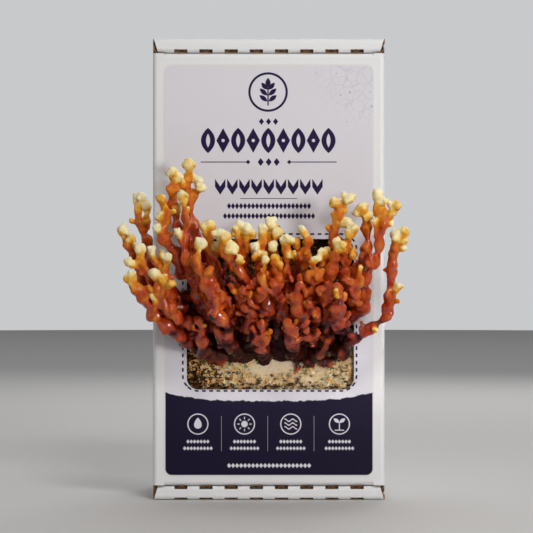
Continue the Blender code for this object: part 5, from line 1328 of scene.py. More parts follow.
def scatter_chips(random):
    """Crumbs of sawdust on the block's face, thickest low in the window.

    Each is an uneven slab of eight corners that narrows outwards, at a random place, turned freely
    about its normal and tilted a little; returned as (points, faces) and a random number for each point.
    """
    x = random.uniform(WINDOW[0] + 1.0, WINDOW[1] - 1.0, CHIPS)
    z = np.where(np.arange(CHIPS) < CHIPS_IN_STRIP, random.uniform(WINDOW[2] + 0.5, STRIP_TOP, CHIPS),
                 random.uniform(STRIP_TOP, WINDOW[3] - 1.0, CHIPS))
    smooth, broad = felt_patches(x, z)
    loose = random.uniform(0, 1, CHIPS) > 0.95 * smooth + 0.55 * broad
    x, z = x[loose], z[loose]
    count = len(x)
    tilt_x, tilt_z = random.normal(0, 0.35, count), random.normal(0, 0.35, count)
    normal = unit(np.column_stack([tilt_x, -np.ones(count), tilt_z]))
    turn = random.uniform(0, math.pi, count)
    flat = np.column_stack([np.cos(turn), np.zeros(count), np.sin(turn)])
    along = unit(np.cross(normal, np.cross(flat, normal)))
    beside = np.cross(normal, along)
    length = random.uniform(0.5, 2.0, count)[:, None] * random.uniform(0.7, 1.0, count)[:, None]
    width = random.uniform(0.3, 0.95, count)[:, None]
    thickness = random.uniform(0.15, 0.55, count)[:, None]
    place = np.column_stack([x, FACE - block_face_out(x, z) - random.uniform(-0.3, 0.6, count), z])
    place[:, 1] -= BLOCK_LUMP * (lumps(x, z) - 1.0)
    corners = []
    for high, narrow in ((-1, 1.0), (1, 0.6)):
        for a, b in ((-1, -0.8), (1, -1), (0.9, 1), (-0.8, 0.9)):
            a, b = narrow * (np.array([[a], [b]]) + random.uniform(-0.35, 0.35, (2, count)))
            corners.append(place + a[:, None] * length * along + b[:, None] * width * beside
                           + high * thickness * normal)
    points = np.stack(corners, axis=1).reshape(-1, 3)
    slab = np.array([(0, 3, 2, 1), (4, 5, 6, 7), (0, 1, 5, 4), (1, 2, 6, 5), (2, 3, 7, 6), (3, 0, 4, 7)])
    faces = (8 * np.arange(count)[:, None, None] + slab).reshape(-1, 4).tolist()
    return (points, faces), np.repeat(random.uniform(0, 1, count), 8)


def draw_block(settings):
    """Cream, straw, tan and dark sawdust flakes, felted over with mycelium in patches; shade is painted on
    the left, above the strip and in hollows and pits.
    """
    finish = Finish(bpy.data.materials.new("sawdust_mycelium"))
    vector, (x, _, z) = finish.place()
    grain, felt, pit = finish.attribute("grain"), finish.attribute("felt"), finish.attribute("pit")
    loose = finish.warped(vector, 1.3, 1.6)
    speck = finish.noise(vector, 0.5, 3.0, 0.7)
    # painted shade: the block darkens left of x = -22, where it also keeps less felt
    shade = ((0 - x - 22) / 24).clear()
    # painted shade over the block above the open strip, where it lies deep behind the crust and antlers
    inside = ((z - STRIP_TOP) / 12).clear()
    chip = finish.attribute("chip")
    tone = finish.flakes(loose, 3.4) * 0.55 + finish.flakes(loose, 1.2) * 0.25 + grain * 0.2
    single = (chip * 20.0).clear()
    tone = tone * (1 - single) + (chip * 0.8 - 0.62) * single + (speck - 0.5) * 0.3
    # painted shade on the left and above the strip darkens the sawdust's tone
    sawdust = finish.ramp((tone - shade * 0.36 - inside * 0.6 + (1 - shade) * 0.1).clear(), [
        (0.0, (0.02, 0.008, 0.003)), (0.12, (0.07, 0.026, 0.007)), (0.20, (0.27, 0.095, 0.018)),
        (0.29, (0.62, 0.25, 0.045)), (0.39, (0.95, 0.48, 0.13)), (0.50, (1.0, 0.72, 0.33)),
        (1.0, (1.0, 0.90, 0.64)),
    ])
    clump = finish.noise(vector, 3.2, 3.0)
    # painted shade also keeps the felt's cream off the left side and off the block above the strip
    bare = shade * 0.9 + inside * 0.9 + single * 0.6 + 0.3
    fluff = (felt * 1.5 + (clump - 0.5) * 1.4 + (speck - 0.5) * 1.2 - bare).clear()
    colour = finish.mix(fluff * 0.9, sawdust, settings.felt)
    colour = finish.mix(((felt - 0.9) * 6.0).clear() * 0.7, colour, (1.0, 0.86, 0.68))
    # painted shade: the pits between grains go near-black, except under felt
    colour = finish.mix((pit * 0.55 - fluff * 0.5).clear(), colour, (0.08, 0.032, 0.009))
    # painted shade: near-black streaky hollows, more towards the strip's foot, on the left and above the
    # strip
    streaks = finish.noise(finish.stretched(vector, (0.55, 1.0, 1.2)), 3.0, 3.0)
    hollow_shade = ((streaks + ((82 - z) / 90).clear() + shade * 0.06 + inside * 0.08 - 0.57) * 12.0).clear()
    colour = finish.mix(hollow_shade * (0.94 - fluff * 0.7), colour, (0.045, 0.017, 0.005))
    stain = ((finish.noise(vector, 4.0, 3.0) - 0.6) * 6.0).clear()
    colour = finish.mix(stain * (0.5 - fluff * 0.35), colour, (0.50, 0.19, 0.035))
    edges = finish.cells(loose, 1.5, feature="DISTANCE_TO_EDGE")
    return finish.finished({
        "Base Color": colour,
        "Roughness": (0.92 - felt * 0.1).clear(),
        "Normal": finish.bump(speck + (edges * 3).least(0.5) + tone, 0.5, 0.9),
        "Specular IOR Level": 0.25,
    })


# Antlers


def smooth_route(guides, step=ROUTE_STEP):
    """A Catmull-Rom curve through guide points, with a sample about every step."""
    guide = np.array(guides, float)
    padded = np.vstack([2 * guide[0] - guide[1], guide, 2 * guide[-1] - guide[-2]])
    samples = []
    for index in range(1, len(padded) - 2):
        start, end = padded[index], padded[index + 1]
        leave = (end - padded[index - 1]) / 2
        arrive = (padded[index + 2] - start) / 2
        count = max(1, int(math.ceil(np.linalg.norm((end - start)[:3]) / step)))
        share = (np.arange(count) / count)[:, None]
        cubic, square = share ** 3, share ** 2
        samples.append((2 * cubic - 3 * square + 1) * start + (cubic - 2 * square + share) * leave
                       + (3 * square - 2 * cubic) * end + (cubic - square) * arrive)
    samples.append(padded[-2:-1])
    return np.vstack(samples)


def antler_routes():
    """Every antler's strands as arrays of (x, out, z, radius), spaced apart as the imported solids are."""
    routes = {}
    for name, (stem, *forks) in ANTLERS.items():
        x, out, z, radius = stem[0]
        buried = (x, out - ROOT_BURIED, z - 1.0, radius)
        routes["antler_" + name] = [smooth_route([buried] + stem)] + [smooth_route(fork) for fork in forks]
    space_apart(routes)
    return routes


def space_apart(routes):
    """Moves samples of different antlers apart, mostly towards or away from the lid.

    Every round finds how far each sample is pushed by samples of other antlers that are
    too near, shares the push over its own antler, and keeps clear of the lid.
    """
    owners, samples, freedom = [], [], []
    for number, strands in enumerate(routes.values()):
        root = strands[0][0, :3]
        for strand in strands:
            samples.append(strand)
            owners.append(np.full(len(strand), number))
            away = lengths(strand[:, :3] - root) - ROOT_BURIED
            freedom.append(ramp(away / ROOT_LENGTH))
    owners = np.concatenate(owners)
    freedom = np.concatenate(freedom)[:, None]
    stacked = np.vstack(samples)
    place, radius = stacked[:, :3].copy(), stacked[:, 3]
    apart = place[:, None, :] - place[None, :, :]
    distance = np.sqrt(np.sum(apart * apart, axis=2))
    same = owners[:, None] == owners[None, :]
    share = np.where(same, np.exp(-(distance / SPACING_REACH) ** 2), 0.0)
    share *= PUSH_SPREAD / np.sqrt(share.sum(axis=1))[:, None] / np.sqrt(share.sum(axis=1))[None, :]
    first, second = np.nonzero(~same & (distance < NEIGHBOUR_REACH))
    need_below = radius[first] + radius[second] + SPACE_BETWEEN
    weight = np.array([SIDEWAYS_SHARE, 1.0, SIDEWAYS_SHARE])
    tie = np.where(owners[first] > owners[second], 0.05, -0.05)
    for _ in range(SPACING_ROUNDS):
        apart = place[first] - place[second]
        need = np.maximum(need_below - np.sqrt(np.sum(apart * apart, axis=1)), 0.0)
        way = apart * weight
        way[:, 1] += tie
        way *= (need / np.maximum(lengths(way), TINY))[:, None]
        push = np.stack([np.bincount(first, way[:, axis], len(place)) for axis in range(3)], axis=1)
        strongest = np.zeros(len(place))
        np.maximum.at(strongest, first, need)
        push *= (PUSH_STRENGTH * strongest / np.maximum(lengths(push), TINY))[:, None]
        place += (share @ (push * freedom)) * freedom
        keep_off_lid(place, radius)
    start = 0
    for strands in routes.values():
        for strand in strands:
            strand[:, :3] = place[start:start + len(strand)]
            start += len(strand)


def keep_off_lid(place, radius):
    """Outside the window, no antler comes nearer to the lid than its own radius."""
    x, z = place[:, 0], place[:, 2]
    beside = np.maximum(WINDOW[0] - x, x - WINDOW[1])
    above = np.maximum(WINDOW[2] - z, z - WINDOW[3])
    outside = np.maximum(beside, above) + radius + 1.5
    least = np.where(outside > 0, radius + 2.0, -50.0)
    place[:, 1] = np.maximum(place[:, 1], least)


def in_frame(strand):
    """A strand of (x, out, z, radius) as (x, y, z, radius)."""
    return np.column_stack([strand[:, 0], FACE - strand[:, 1], strand[:, 2], strand[:, 3]])


def lengths_along(strand):
    """How far along the strand each of its samples is."""
    return np.concatenate([[0.0], np.cumsum(lengths(np.diff(strand[:, :3], axis=0)))])


def wavered(strand, random):
    """The strand with its route pushed aside by smooth noise, more so along its middle."""
    seed = int(random.integers(1000))
    way = lengths_along(strand)
    share = ramp(way / 14.0) * (1.0 - 0.7 * ramp((way - way[-1] + 8.0) / 8.0))
    for axis in range(3):
        strand[:, axis] += 1.3 * share * lattice_noise(strand[:, :3], 8.0, seed + axis)
    return strand


def add_buds(strands, ages, random):
    """Side buds, one for about every 12 mm of strand, that turn up as they grow, with their ages.

    A bud is as old as its stem where it starts, and a third to two thirds as old at its tip, or
    a little older low inside the cluster.
    """
    buds = []
    for number, (strand, age) in enumerate(zip(strands, ages)):
        along = lengths_along(strand)
        start = 18.0 if number == 0 else 3.0
        end = along[-1] - 5.0
        count = int(max(0.0, end - start) / BUD_SPACING + 0.6)
        for place in random.uniform(start, max(start, end), count):
            index = min(max(int(np.searchsorted(along, place)), 1), len(strand) - 2)
            heading = unit(strand[index + 1, :3] - strand[index - 1, :3])
            outward = random.normal(size=3) + (0.0, -0.7, 0.2)
            outward = unit(outward - heading * (outward @ heading))
            radius = strand[index, 3]
            size = min(random.uniform(1.1, 1.9), 0.6 * radius)
            reach = radius + random.uniform(0.2, 3.6)
            base = strand[index, :3]
            bend = base + outward * reach * 0.8 + heading * 0.8
            tip = bend + outward * reach * 0.15 + (0.0, 0.0, random.uniform(0.5, 4.0))
            guides = [(*base, size), (*bend, 0.8 * size), (*tip, 1.15 * size)]
            bud = smooth_route(guides, SKIN_STEP)
            share = np.linspace(0.0, 1.0, len(bud))
            younger = random.uniform(0.35, 0.7) * (1.0 - ripen(base) / 40.0)
            buds.append((bud, age[index] * (1.0 - share * younger)))
    return buds


def links_between(routes):
    """For each antler, the short strands that fuse it to its neighbours low in the cluster.

    A link rises 2 to 12 mm between two samples whose skins are up to 7 mm apart.
    """
    random = np.random.default_rng(LINK_SEED)
    links = {name: [] for name in routes}
    stacked = {name: in_frame(np.vstack(strands)) for name, strands in routes.items()}
    for (name, own), (_, other) in itertools.permutations(stacked.items(), 2):
        gap = lengths(own[:, None, :3] - other[None, :, :3])
        gap -= own[:, None, 3] + other[None, :, 3]
        rise = other[None, :, 2] - own[:, None, 2]
        fits = (gap > 0.3) & (gap < 7.0) & (rise > 2.0) & (rise < 12.0)
        fits &= (own[:, None, 2] > LINK_LOW) & (own[:, None, 2] < LINK_HIGH)
        fits &= own[:, None, 1] < FACE - 3.0
        choices = np.argwhere(fits)
        if len(choices) and random.random() < LINK_CHANCE:
            start, end = choices[random.integers(len(choices))]
            start, end = own[start].copy(), other[end].copy()
            start[3] *= 0.72
            end[3] *= 0.62
            middle = (start + end) / 2
            middle[1] -= random.uniform(0.0, 2.5)
            middle[3] *= random.uniform(0.85, 1.15)
            links[name].append(smooth_route([start, middle, end], SKIN_STEP))
    return links


def ages_of(strands):
    """How far, in millimetres of growth, each sample is from its tip.

    A strand's own age is the way left to its tip, or to the farthest tip of what forks from it.
    A fork starts with its parent's age, and loses the surplus as the square of the way left.
    """
    along = [lengths_along(strand) for strand in strands]
    parents = [None]
    for number in range(1, len(strands)):
        start = strands[number][0, :3]
        away = [lengths(earlier[:, :3] - start) for earlier in strands[:number]]
        parent = int(np.argmin([gaps.min() for gaps in away]))
        parents.append((parent, int(np.argmin(away[parent]))))
    ages = [way[-1] - way for way in along]
    for number in range(len(strands) - 1, 0, -1):
        parent, index = parents[number]
        through = along[parent][index] - along[parent][:index + 1] + ages[number][0]
        ages[parent][:index + 1] = np.maximum(ages[parent][:index + 1], through)
    for number in range(1, len(strands)):
        parent, index = parents[number]
        surplus = max(0.0, ages[parent][index] - ages[number][0])
        left = 1.0 - along[number] / along[number][-1]
        ages[number] = ages[number] + surplus * left ** 2
    return ages


def swollen(strand, random, necked=False):
    """The strand with its radius swollen and pinched along the way, and by how much.

    Radius times 1 + long swellings with short pinches between them, as the absolute value of a
    sine, + small swellings, less a bell-shaped neck 5.5 mm below a tip.
    """
    way = lengths_along(strand)
    left = way[-1] - way
    links = np.abs(np.sin(math.pi * way / random.uniform(11, 17) + random.uniform(0, 3)))
    swell = 0.26 * (2.0 * links - 1.2)
    swell += 0.06 * np.sin(2 * math.pi * way / random.uniform(4.5, 7) + random.uniform(0, 6))
    swell *= ramp(way / 5.0) * ramp(left / 5.0)
    if necked:
        swell -= 0.34 * np.exp(-((left - 5.5) / 2.8) ** 2)
    grown = strand.copy()
    grown[:, 3] *= 1 + swell
    return grown, swell


def tube(strand, random):
    """A strand's skin: a ring round each sample of its route, and domes at both ends.

    The section is an oval with three soft ridges, and it twists along the way.
    """
    centre, radius = strand[:, :3], strand[:, 3]
    way = lengths_along(strand)
    heading = unit(np.gradient(centre, axis=0))
    shares = np.array([0.3, 0.6, 0.82, 0.96])
    squeeze = np.sqrt(1 - shares ** 2)
    centres = np.vstack([centre[0] - heading[0] * (radius[0] * shares[::-1])[:, None], centre,
                         centre[-1] + heading[-1] * (radius[-1] * shares)[:, None]])
    radii = np.concatenate([radius[0] * squeeze[::-1], radius, radius[-1] * squeeze])
    headings = np.vstack([np.repeat(heading[:1], 4, axis=0), heading, np.repeat(heading[-1:], 4, axis=0)])
    side = unit(np.cross(headings, (0.31, -0.22, 0.92)))
    across = np.cross(headings, side)
    angle = np.linspace(0, 2 * math.pi, SKIN_SIDES, endpoint=False)
    reached = np.concatenate([np.zeros(4), way, np.full(4, way[-1])])[:, None]
    twist = reached * 2 * math.pi / random.uniform(24, 50)
    turned = angle - twist - random.uniform(0, 3)
    oval = 1 + SKIN_FLATNESS * np.cos(2 * turned) + SKIN_RIDGES * np.cos(3 * turned + 0.4 * twist)
    circle = side[:, None, :] * np.cos(angle)[:, None] + across[:, None, :] * np.sin(angle)[:, None]
    return skin(centres[:, None, :] + (radii[:, None] * oval)[:, :, None] * circle)


def ball(centre, radius):
    """A closed ball: rings of latitude, radius times the sine of the angle from its pole."""
    polar = np.linspace(0.25, math.pi - 0.25, 7)[:, None]
    angle = np.linspace(0, 2 * math.pi, 12, endpoint=False)[None, :]
    rings = np.dstack([np.sin(polar) * np.cos(angle), np.sin(polar) * np.sin(angle),
                       np.broadcast_to(np.cos(polar), (7, 12))])
    return skin(np.asarray(centre) + radius * rings)


def tip_knobs(strand, random):
    """A bulb at a strand's tip with three or four lesser lobes, as (centre, radius)."""
    heading = unit(strand[-1, :3] - strand[-3, :3])
    radius = strand[-1, 3]
    knobs = [(strand[-1, :3] + 0.1 * radius * heading, 0.94 * radius)]
    for _ in range(random.integers(3, 5)):
        way = unit(unit(random.normal(size=3)) + 0.35 * heading)
        size = random.uniform(0.42, 0.62) * radius
        knobs.append((strand[-1, :3] + way * (1.12 * radius - 0.45 * size), size))
    return knobs


def fused(name, surfaces, voxel, rounds):
    """One closed skin over overlapping closed surfaces: voxel remesh, then smoothing."""
    piece = new_piece(name, new_mesh(name, *joined(surfaces)))
    remesh = piece.modifiers.new("fuse", "REMESH")
    remesh.mode = "VOXEL"
    remesh.voxel_size = voxel
    smooth = piece.modifiers.new("smooth", "SMOOTH")
    smooth.factor = 0.5
    smooth.iterations = rounds
    settle(piece)
    return piece


def nearest_ages(points, samples, ages):
    """Each point's age: the mean of the samples' ages, weighted to those whose skin is nearest."""
    found = np.empty(len(points))
    for start in range(0, len(points), POINTS_AT_ONCE):
        part = points[start:start + POINTS_AT_ONCE]
        away = lengths(part[:, None, :] - samples[None, :, :3]) - samples[None, :, 3]
        weight = np.exp(-(away - away.min(axis=1)[:, None]) / 0.4)
        found[start:start + POINTS_AT_ONCE] = (weight * ages).sum(axis=1) / weight.sum(axis=1)
    return found


def ripen(tip):
    """How many millimetres of growth a tip lacks: none at the sides and high up, most low inside."""
    return 24.0 * float(ramp((160.0 - tip[2]) / 26.0) * ramp((64.0 - abs(tip[0])) / 12.0))


def cover_with_skin(piece, samples, ages, relief):
    """Fine lumps on a fused piece, and its age attribute.

    Height = noise on lattices of 7.5, 3.6 and 1.8 mm, and small domes on tender tips. The age
    also carries painted light and shade: raised parts and those far out of the window are painted
    younger and lighter, hollows and parts near the block older and darker, and a tip paler facing up.
    """
    mesh = piece.data
    points, normals = points_of(mesh), normals_of(mesh)
    age = nearest_ages(points, np.vstack(samples), np.concatenate(ages))
    tender = 1.0 - ramp((age - 3.0) / 9.0)
    broad, middle = lattice_noise(points, 7.5, 21), lattice_noise(points, 3.6, 22)
    height = 1.5 * broad + 1.5 * middle + 0.5 * lattice_noise(points, 1.8, 24)
    domes, _, _ = nearest_grains(points, 1.8, 31)
    height = height * (1.0 - 0.2 * tender) + tender * 2.0 * (0.5 - domes)
    # painted top light: a tender tip is paler where it faces up, golden beneath
    age = age + 1.7 * (1.0 - normals[:, 2]) * (1.0 - ramp((age - 4.0) / 14.0))
    # painted light and shade: raised lumps are painted lighter, hollows darker
    age *= 1.0 - (0.5 * broad + 0.5 * middle) * ramp((age - 6.0) / 16.0)
    # painted shade deep in the cluster near the block, painted light on parts far out in front
    out = FACE - points[:, 1]
    age += (34.0 * ramp((22.0 - out) / 22.0) - 12.0 * ramp((out - 20.0) / 16.0)) * ramp((age - 12.0) / 24.0)
    move_points(mesh, points + normals * (relief / MM * height + 0.1)[:, None])
    # the stored age holds painted light and shade as well as growth
    store(mesh, "age", np.maximum(age, 0.0) / AGE_SPAN)
    mesh.shade_smooth()


def make_antler(name, route, links, number, settings):
    """One antler: swollen tubes, buds and tip knobs fused in one skin.

    Taller antlers age more slowly from their tips; swollen places are painted lighter and pinched ones
    darker, as light and shade.
    """
    random = np.random.default_rng(ANTLER_SEED + number)
    strands = [wavered(in_frame(smooth_route(strand, SKIN_STEP)), random) for strand in route]
    top = max(strand[-1, 2] for strand in strands)
    pace = 1.0 - 0.42 * float(ramp((top - 158.0) / 35.0))
    ages = [pace * age for age in ages_of(strands)]
    parts = add_buds(strands, ages, random)
    parts += [(link, np.linspace(52.0, 44.0, len(link))) for link in links]
    surfaces, samples, sample_ages = [], [], []
    for strand, age in zip(strands, ages):
        lacking = max(0.0, ripen(strand[-1]) + random.uniform(-1.5, 3.2))
        parts.append((strand, age + lacking))
        for centre, radius in tip_knobs(strand, random):
            surfaces.append(ball(centre, radius))
            samples.append(np.array([[*centre, radius]]))
            sample_ages.append(np.array([lacking]))
    for index, (strand, age) in enumerate(parts):
        grown, swell = swollen(strand, random, index >= len(parts) - len(strands))
        surfaces.append(tube(grown, random))
        samples.append(grown)
        # painted light on swellings and painted shade in pinches, through the age
        sample_ages.append(age * (1.0 - 1.6 * swell * ramp((age - 8.0) / 14.0)))
    piece = fused(name, surfaces, settings.voxel, 4)
    cover_with_skin(piece, samples, sample_ages, settings.relief)
    return piece


def draw_reishi(settings, name="reishi_lacquer"):
    """Skin by age, which also holds painted light and shade: cream tips, golden necks, orange, then
    lacquered red to dark maroon.

    The age is mottled by noise, so no two stems change colour at the same place.
    """
    finish = Finish(bpy.data.materials.new(name))
    vector, _ = finish.place()
    age = finish.attribute("age")
    blotch = finish.noise(vector, 6.5, 3.0)
    mottle = finish.noise(vector, 1.6, 3.0)
    drift = ((blotch - 0.5) * 0.9 + (mottle - 0.5) * 0.16) * (age * 2.2 + 0.03).least(0.8)
    colour = finish.ramp((age + drift).clear(), [
        (0.0, (0.92, 0.87, 0.60)), (0.026, (0.90, 0.75, 0.36)), (0.048, (0.80, 0.42, 0.05)),
        (0.076, (0.66, 0.20, 0.012)), (0.12, (0.54, 0.10, 0.007)), (0.18, (0.47, 0.055, 0.005)),
        (0.28, (0.36, 0.028, 0.004)), (0.41, (0.21, 0.013, 0.003)), (0.56, (0.09, 0.006, 0.002)),
        (0.77, (0.03, 0.003, 0.002)),
    ])
    freckle = ((finish.noise(vector, 0.8, 3.0) - 0.58) * 5.0).clear() * (1 - (age * 9.0).clear() * 0.5)
    colour = finish.mix(freckle * 0.3, colour, (0.50, 0.17, 0.03))
    red = ((age - 0.06) * 9.0).clear()
    pores = finish.noise(vector, 0.45, 3.0, 0.65)
    return finish.finished({
        "Base Color": colour,
        "Roughness": (0.6 - red * 0.24 + (mottle - 0.5) * 0.14).clear(),
        "Coat Weight": (red - (age - 0.3).clear() * 1.7).clear() * settings.gloss,
        "Coat Roughness": 0.1,
        "Coat IOR": 1.6,
        "Normal": finish.bump(pores * (1 - red * 0.7) + mottle * 0.8, 0.22, 0.55),
        "Specular IOR Level": 0.12,
        "Subsurface Weight": 0.05,
        "Subsurface Radius": (1.0, 0.4, 0.15),
        "Subsurface Scale": 0.0015,
    })


# Root crust


CRUST_LOBES = [
    [(-36, -1.5, 95, 4.2), (-31, -0.8, 93.5, 5.2), (-27, -2.0, 94, 3.4)],
    [(-19, -1.6, 92.5, 3.0), (-15.5, -0.6, 93, 3.8), (-11, -1.5, 94, 2.8)],
    [(-22, -1.0, 93, 1.6), (-23.5, -0.8, 90.8, 1.1), (-24.5, -1.2, 89.2, 0.7)],
    [(16, -0.5, 95, 3.0), (17.5, -0.4, 91, 1.8), (18.8, -0.8, 87, 1.5), (18, -1.4, 84, 1.1)],
    [(24, -1.0, 91, 2.6), (26, -0.6, 88, 1.9), (29, -1.4, 87.2, 1.2)],
    [(33, -1.0, 92, 3.0), (35, -0.5, 88.8, 2.3), (35.6, -1.4, 86.5, 1.3)],
    [(38.5, -1.0, 91, 2.2), (39.5, -0.8, 87.3, 1.6)],
    [(44, -3.0, 97, 3.6), (49, -4.0, 101, 3.2)],
    [(-45, -3.2, 98, 3.8), (-49, -4.0, 104, 3.0)],
]


def make_crust(routes, settings):
    """The fused base: a lobed cushion, a flare round each antler's root, and lobes down the block.

    Cushion: rings out from its middle, half width and half height times 1 + two waves round it,
    out by a thickness times 1 less the fourth power of the ring, and back again under the block's
    face.
    """
    random = np.random.default_rng(CRUST_SEED)
    angle = np.linspace(0.0, 2.0 * math.pi, 72, endpoint=False)
    lobes = 1.0 + 0.07 * np.sin(5 * angle + 0.5) + 0.05 * np.sin(9 * angle + 2.0)
    shares = np.linspace(0.08, 1.0, 12)
    layers = [(share, CRUST_THICKNESS * (1 - share ** 4) + 0.6) for share in shares]
    layers += [(share, CRUST_UNDERSIDE) for share in shares[::-1]]
    rings = []
    for share, thickness in layers:
        x = CRUST_CENTRE[0] + CRUST_HALF_WIDTH * share * lobes * np.cos(angle)
        x = np.clip(x, WINDOW[0] + 1.5, WINDOW[1] - 1.5)
        z = CRUST_CENTRE[1] + CRUST_HALF_HEIGHT * share * lobes * np.sin(angle)
        lumpy = thickness + 1.6 * lumps(2.2 * x, 2.2 * z) * (thickness > 0)
        rings.append(np.column_stack([x, FACE - block_face_out(x, z) - lumpy, z]))
    surfaces = [skin(np.array(rings))]
    samples = [np.array([[CRUST_CENTRE[0], FACE, CRUST_CENTRE[1], 30.0]])]
    ages = [np.array([62.0])]
    for route in routes.values():
        stem = in_frame(smooth_route(route[0], SKIN_STEP))
        way = lengths_along(stem)
        flare = stem[(way > 3.0) & (way < 22.0)]
        share = np.linspace(0.0, 1.0, len(flare))
        flare[:, 3] += 2.6 * (1 - share) ** 1.6 - 0.9 * share
        flare, _ = swollen(flare, random)
        surfaces.append(tube(flare, random))
        samples.append(flare)
        ages.append(58.0 - 10.0 * share)
    for guides in CRUST_LOBES:
        lobe = in_frame(smooth_route(guides, SKIN_STEP))
        surfaces.append(tube(lobe, random))
        samples.append(lobe)
        ages.append(np.linspace(40.0, 28.0, len(lobe)))
    piece = fused("root_crust", surfaces, 1.25 * settings.voxel, 3)
    cover_with_skin(piece, samples, ages, 1.5 * settings.relief)
    return piece


# Stage


def draw_floor(settings):
    finish = Finish(bpy.data.materials.new("plain_floor"))
    return finish.finished({
        "Base Color": (*settings.floor, 1.0),
        "Roughness": 0.9,
        "Specular IOR Level": 0.1,
    })


def make_floor():
    """A wide round floor: a circle carried out over the top and back underneath."""
    top, under, inner, edge = -0.2, -10.0, 200.0, 4000.0
    angle = np.linspace(0.0, 2 * math.pi, 96, endpoint=False)
    rings = []
    for radius, level in ((inner, top), (1200.0, top), (edge, top), (edge, under), (inner, under)):
        circle = radius * np.column_stack([np.cos(angle), np.sin(angle)])
        rings.append(np.column_stack([circle, np.full(len(angle), level)]))
    mesh = new_mesh("floor", *skin(np.array(rings)))
    face_outwards(mesh)
    return new_piece("floor", mesh)


# Each light: name, place and target in metres, width and height, its share of the key power,
# its colour, and how wide it shines in degrees
WARM, WHITE = (1.0, 0.985, 0.96), (1.0, 1.0, 1.0)
LID_TOP = (0.02, -0.06, 0.20)
LIGHTS = [
    ("key_light", (0.25, -1.0, 1.0), LID_TOP, (0.28, 0.22), 0.26, WARM, 90.0),
    ("front_light", (0.68, -1.3, 0.3), LID_TOP, (0.24, 0.22), 0.215, WARM, 75.0),
    ("window_light", (0.45, -0.95, 0.07), (0.012, -0.05, 0.084), (0.12, 0.02), 0.0014, WARM, 6.0),
    ("room_light", (0.0, 1.2, 3.0), (0.0, 1.2, 0.0), (3.5, 3.0), 4.0, WHITE, 180.0),
    ("left_strip", (-1.2, -0.35, 0.7), LID_TOP, (0.3, 0.7), 0.05, (1.0, 0.98, 0.95), 80.0),
    ("right_strip", (1.2, -0.35, 0.7), LID_TOP, (0.3, 0.7), 0.1, (1.0, 0.98, 0.96), 80.0),
    ("back_light", (0.3, 1.3, 0.9), (0.0, -0.06, 0.15), (0.8, 0.6), 1.0, WHITE, 180.0),
]


# The photograph looks level at the lid: its centre's x and z, and how much of the lid's plane it
# frames, in metres
VIEW_CENTRE = (-0.0016, 0.1518)
VIEW_HEIGHT = 0.3465


def add_light(name, place, target, size, power, colour, spread):
    """A soft rectangular light at a place, turned to a target."""
    data = bpy.data.lights.new(name, "AREA")
    data.spread = math.radians(spread)
    data.shape = "RECTANGLE"
    data.size, data.size_y = size
    data.energy = power
    data.color = colour
    point_at(new_piece(name, data), place, target)


def point_at(thing, place, target):
    x, y, z = np.subtract(target, place)
    thing.location = place
    thing.rotation_euler = (math.atan2(math.hypot(x, y), -z), 0.0, math.atan2(-x, y))


def draw_room(world):
    """Soft room light, stronger from behind the object than from in front of it."""
    finish = Finish(world)
    heading = finish.add("ShaderNodeTexCoord").outputs["Generated"]
    towards = finish.add("ShaderNodeSeparateXYZ", {}, {0: heading})
    colour = finish.ramp(Field(finish, towards.outputs[1]) * 0.5 + 0.5, [
        (0.0, (0.05, 0.05, 0.052)), (0.6, (0.12, 0.121, 0.125)), (0.95, (0.58, 0.585, 0.60)),
    ])
    background = finish.add("ShaderNodeBackground", {}, {"Color": colour})
    finish.add("ShaderNodeOutputWorld", {}, {0: background.outputs[0]})


def make_stage(settings):
    floor = make_floor()
    floor.data.materials.append(draw_floor(settings))
    for name, place, target, size, share, colour, spread in LIGHTS:
        add_light(name, place, target, size, share * settings.key, colour, spread)
    world = bpy.data.worlds.new("soft_room")
    draw_room(world)
    bpy.context.scene.world = world
    bpy.context.scene.view_settings.view_transform = "Standard"
    lens = bpy.data.cameras.new("camera")
    lens.sensor_width = 36.0
    lens.lens = lens.sensor_width * settings.distance / VIEW_HEIGHT
    lens.clip_start, lens.clip_end = 0.05, 20.0
    camera = new_piece("camera", lens)
    place = (VIEW_CENTRE[0], MM * FACE - settings.distance, VIEW_CENTRE[1])
    point_at(camera, place, (VIEW_CENTRE[0], 0.0, VIEW_CENTRE[1]))
    bpy.context.scene.camera = camera


# Operators, panel and registration


class KIT_OT_carton(bpy.types.Operator):
    """Fold the carton from its board"""

    bl_idname = "growkit.carton"
    bl_label = "Carton"

    def execute(self, context):
        settings = context.scene.kit_carton
        carton = make_carton(settings)
        materials = [draw_board_white(settings), draw_board_kraft(settings), draw_board_raw(settings)]
        place_piece(carton, materials, ["carton"])
        return {"FINISHED"}


class KIT_OT_label(bpy.types.Operator):
    """Lay the printed label on the lid"""

    bl_idname = "growkit.label"
    bl_label = "Label"

    def execute(self, context):
        place_piece(make_label(), [draw_label(context.scene.kit_label)], ["label"])
        return {"FINISHED"}


class KIT_OT_block(bpy.types.Operator):
    """Fill the carton with the substrate block"""

    bl_idname = "growkit.block"
    bl_label = "Substrate block"

    def execute(self, context):
        settings = context.scene.kit_block
        place_piece(make_block(settings), [draw_block(settings)], ["substrate_block"])
        return {"FINISHED"}


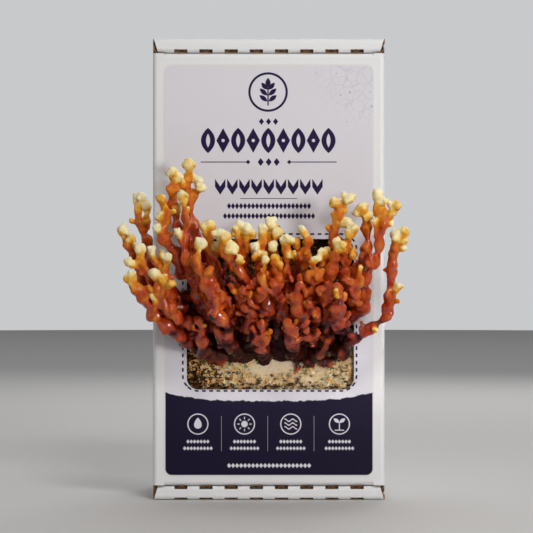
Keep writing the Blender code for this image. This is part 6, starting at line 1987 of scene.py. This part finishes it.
class KIT_OT_reishi(bpy.types.Operator):
    """Grow the root crust and the antlers"""

    bl_idname = "growkit.reishi"
    bl_label = "Reishi"

    def execute(self, context):
        settings = context.scene.kit_antlers
        routes = antler_routes()
        links = links_between(routes)
        lacquer = draw_reishi(settings)
        place_piece(make_crust(routes, settings), [draw_reishi(settings, "crust_lacquer")],
                    ["root_crust"])
        for number, (name, route) in enumerate(routes.items()):
            antler = make_antler(name, route, links[name], number, settings)
            place_piece(antler, [lacquer], [name])
        return {"FINISHED"}


class KIT_OT_stage(bpy.types.Operator):
    """Set the floor, the lights and the camera"""

    bl_idname = "growkit.stage"
    bl_label = "Stage"

    def execute(self, context):
        make_stage(context.scene.kit_stage)
        return {"FINISHED"}


OPERATORS = [KIT_OT_stage, KIT_OT_carton, KIT_OT_label, KIT_OT_block, KIT_OT_reishi]


class KIT_PT_panel(bpy.types.Panel):
    """Grow kit"""

    bl_idname = "KIT_PT_panel"
    bl_label = "Grow kit"
    bl_space_type = "VIEW_3D"
    bl_region_type = "UI"
    bl_category = "Grow kit"

    def draw(self, context):
        for operator in OPERATORS:
            self.layout.operator(operator.bl_idname)
        for name, group in SETTINGS.items():
            box_layout = self.layout.box()
            for field in group.__annotations__:
                box_layout.prop(getattr(context.scene, name), field)


def register():
    for group in SETTINGS.values():
        bpy.utils.register_class(group)
    for name, group in SETTINGS.items():
        setattr(bpy.types.Scene, name, PointerProperty(type=group))
    for operator in OPERATORS:
        bpy.utils.register_class(operator)
    bpy.utils.register_class(KIT_PT_panel)


def unregister():
    bpy.utils.unregister_class(KIT_PT_panel)
    for operator in reversed(OPERATORS):
        bpy.utils.unregister_class(operator)
    for name, group in reversed(SETTINGS.items()):
        delattr(bpy.types.Scene, name)
        bpy.utils.unregister_class(group)


def main():
    register()
    bpy.ops.growkit.stage()
    bpy.ops.growkit.carton()
    bpy.ops.growkit.label()
    bpy.ops.growkit.block()
    bpy.ops.growkit.reishi()


if __name__ == "__main__":
    main()
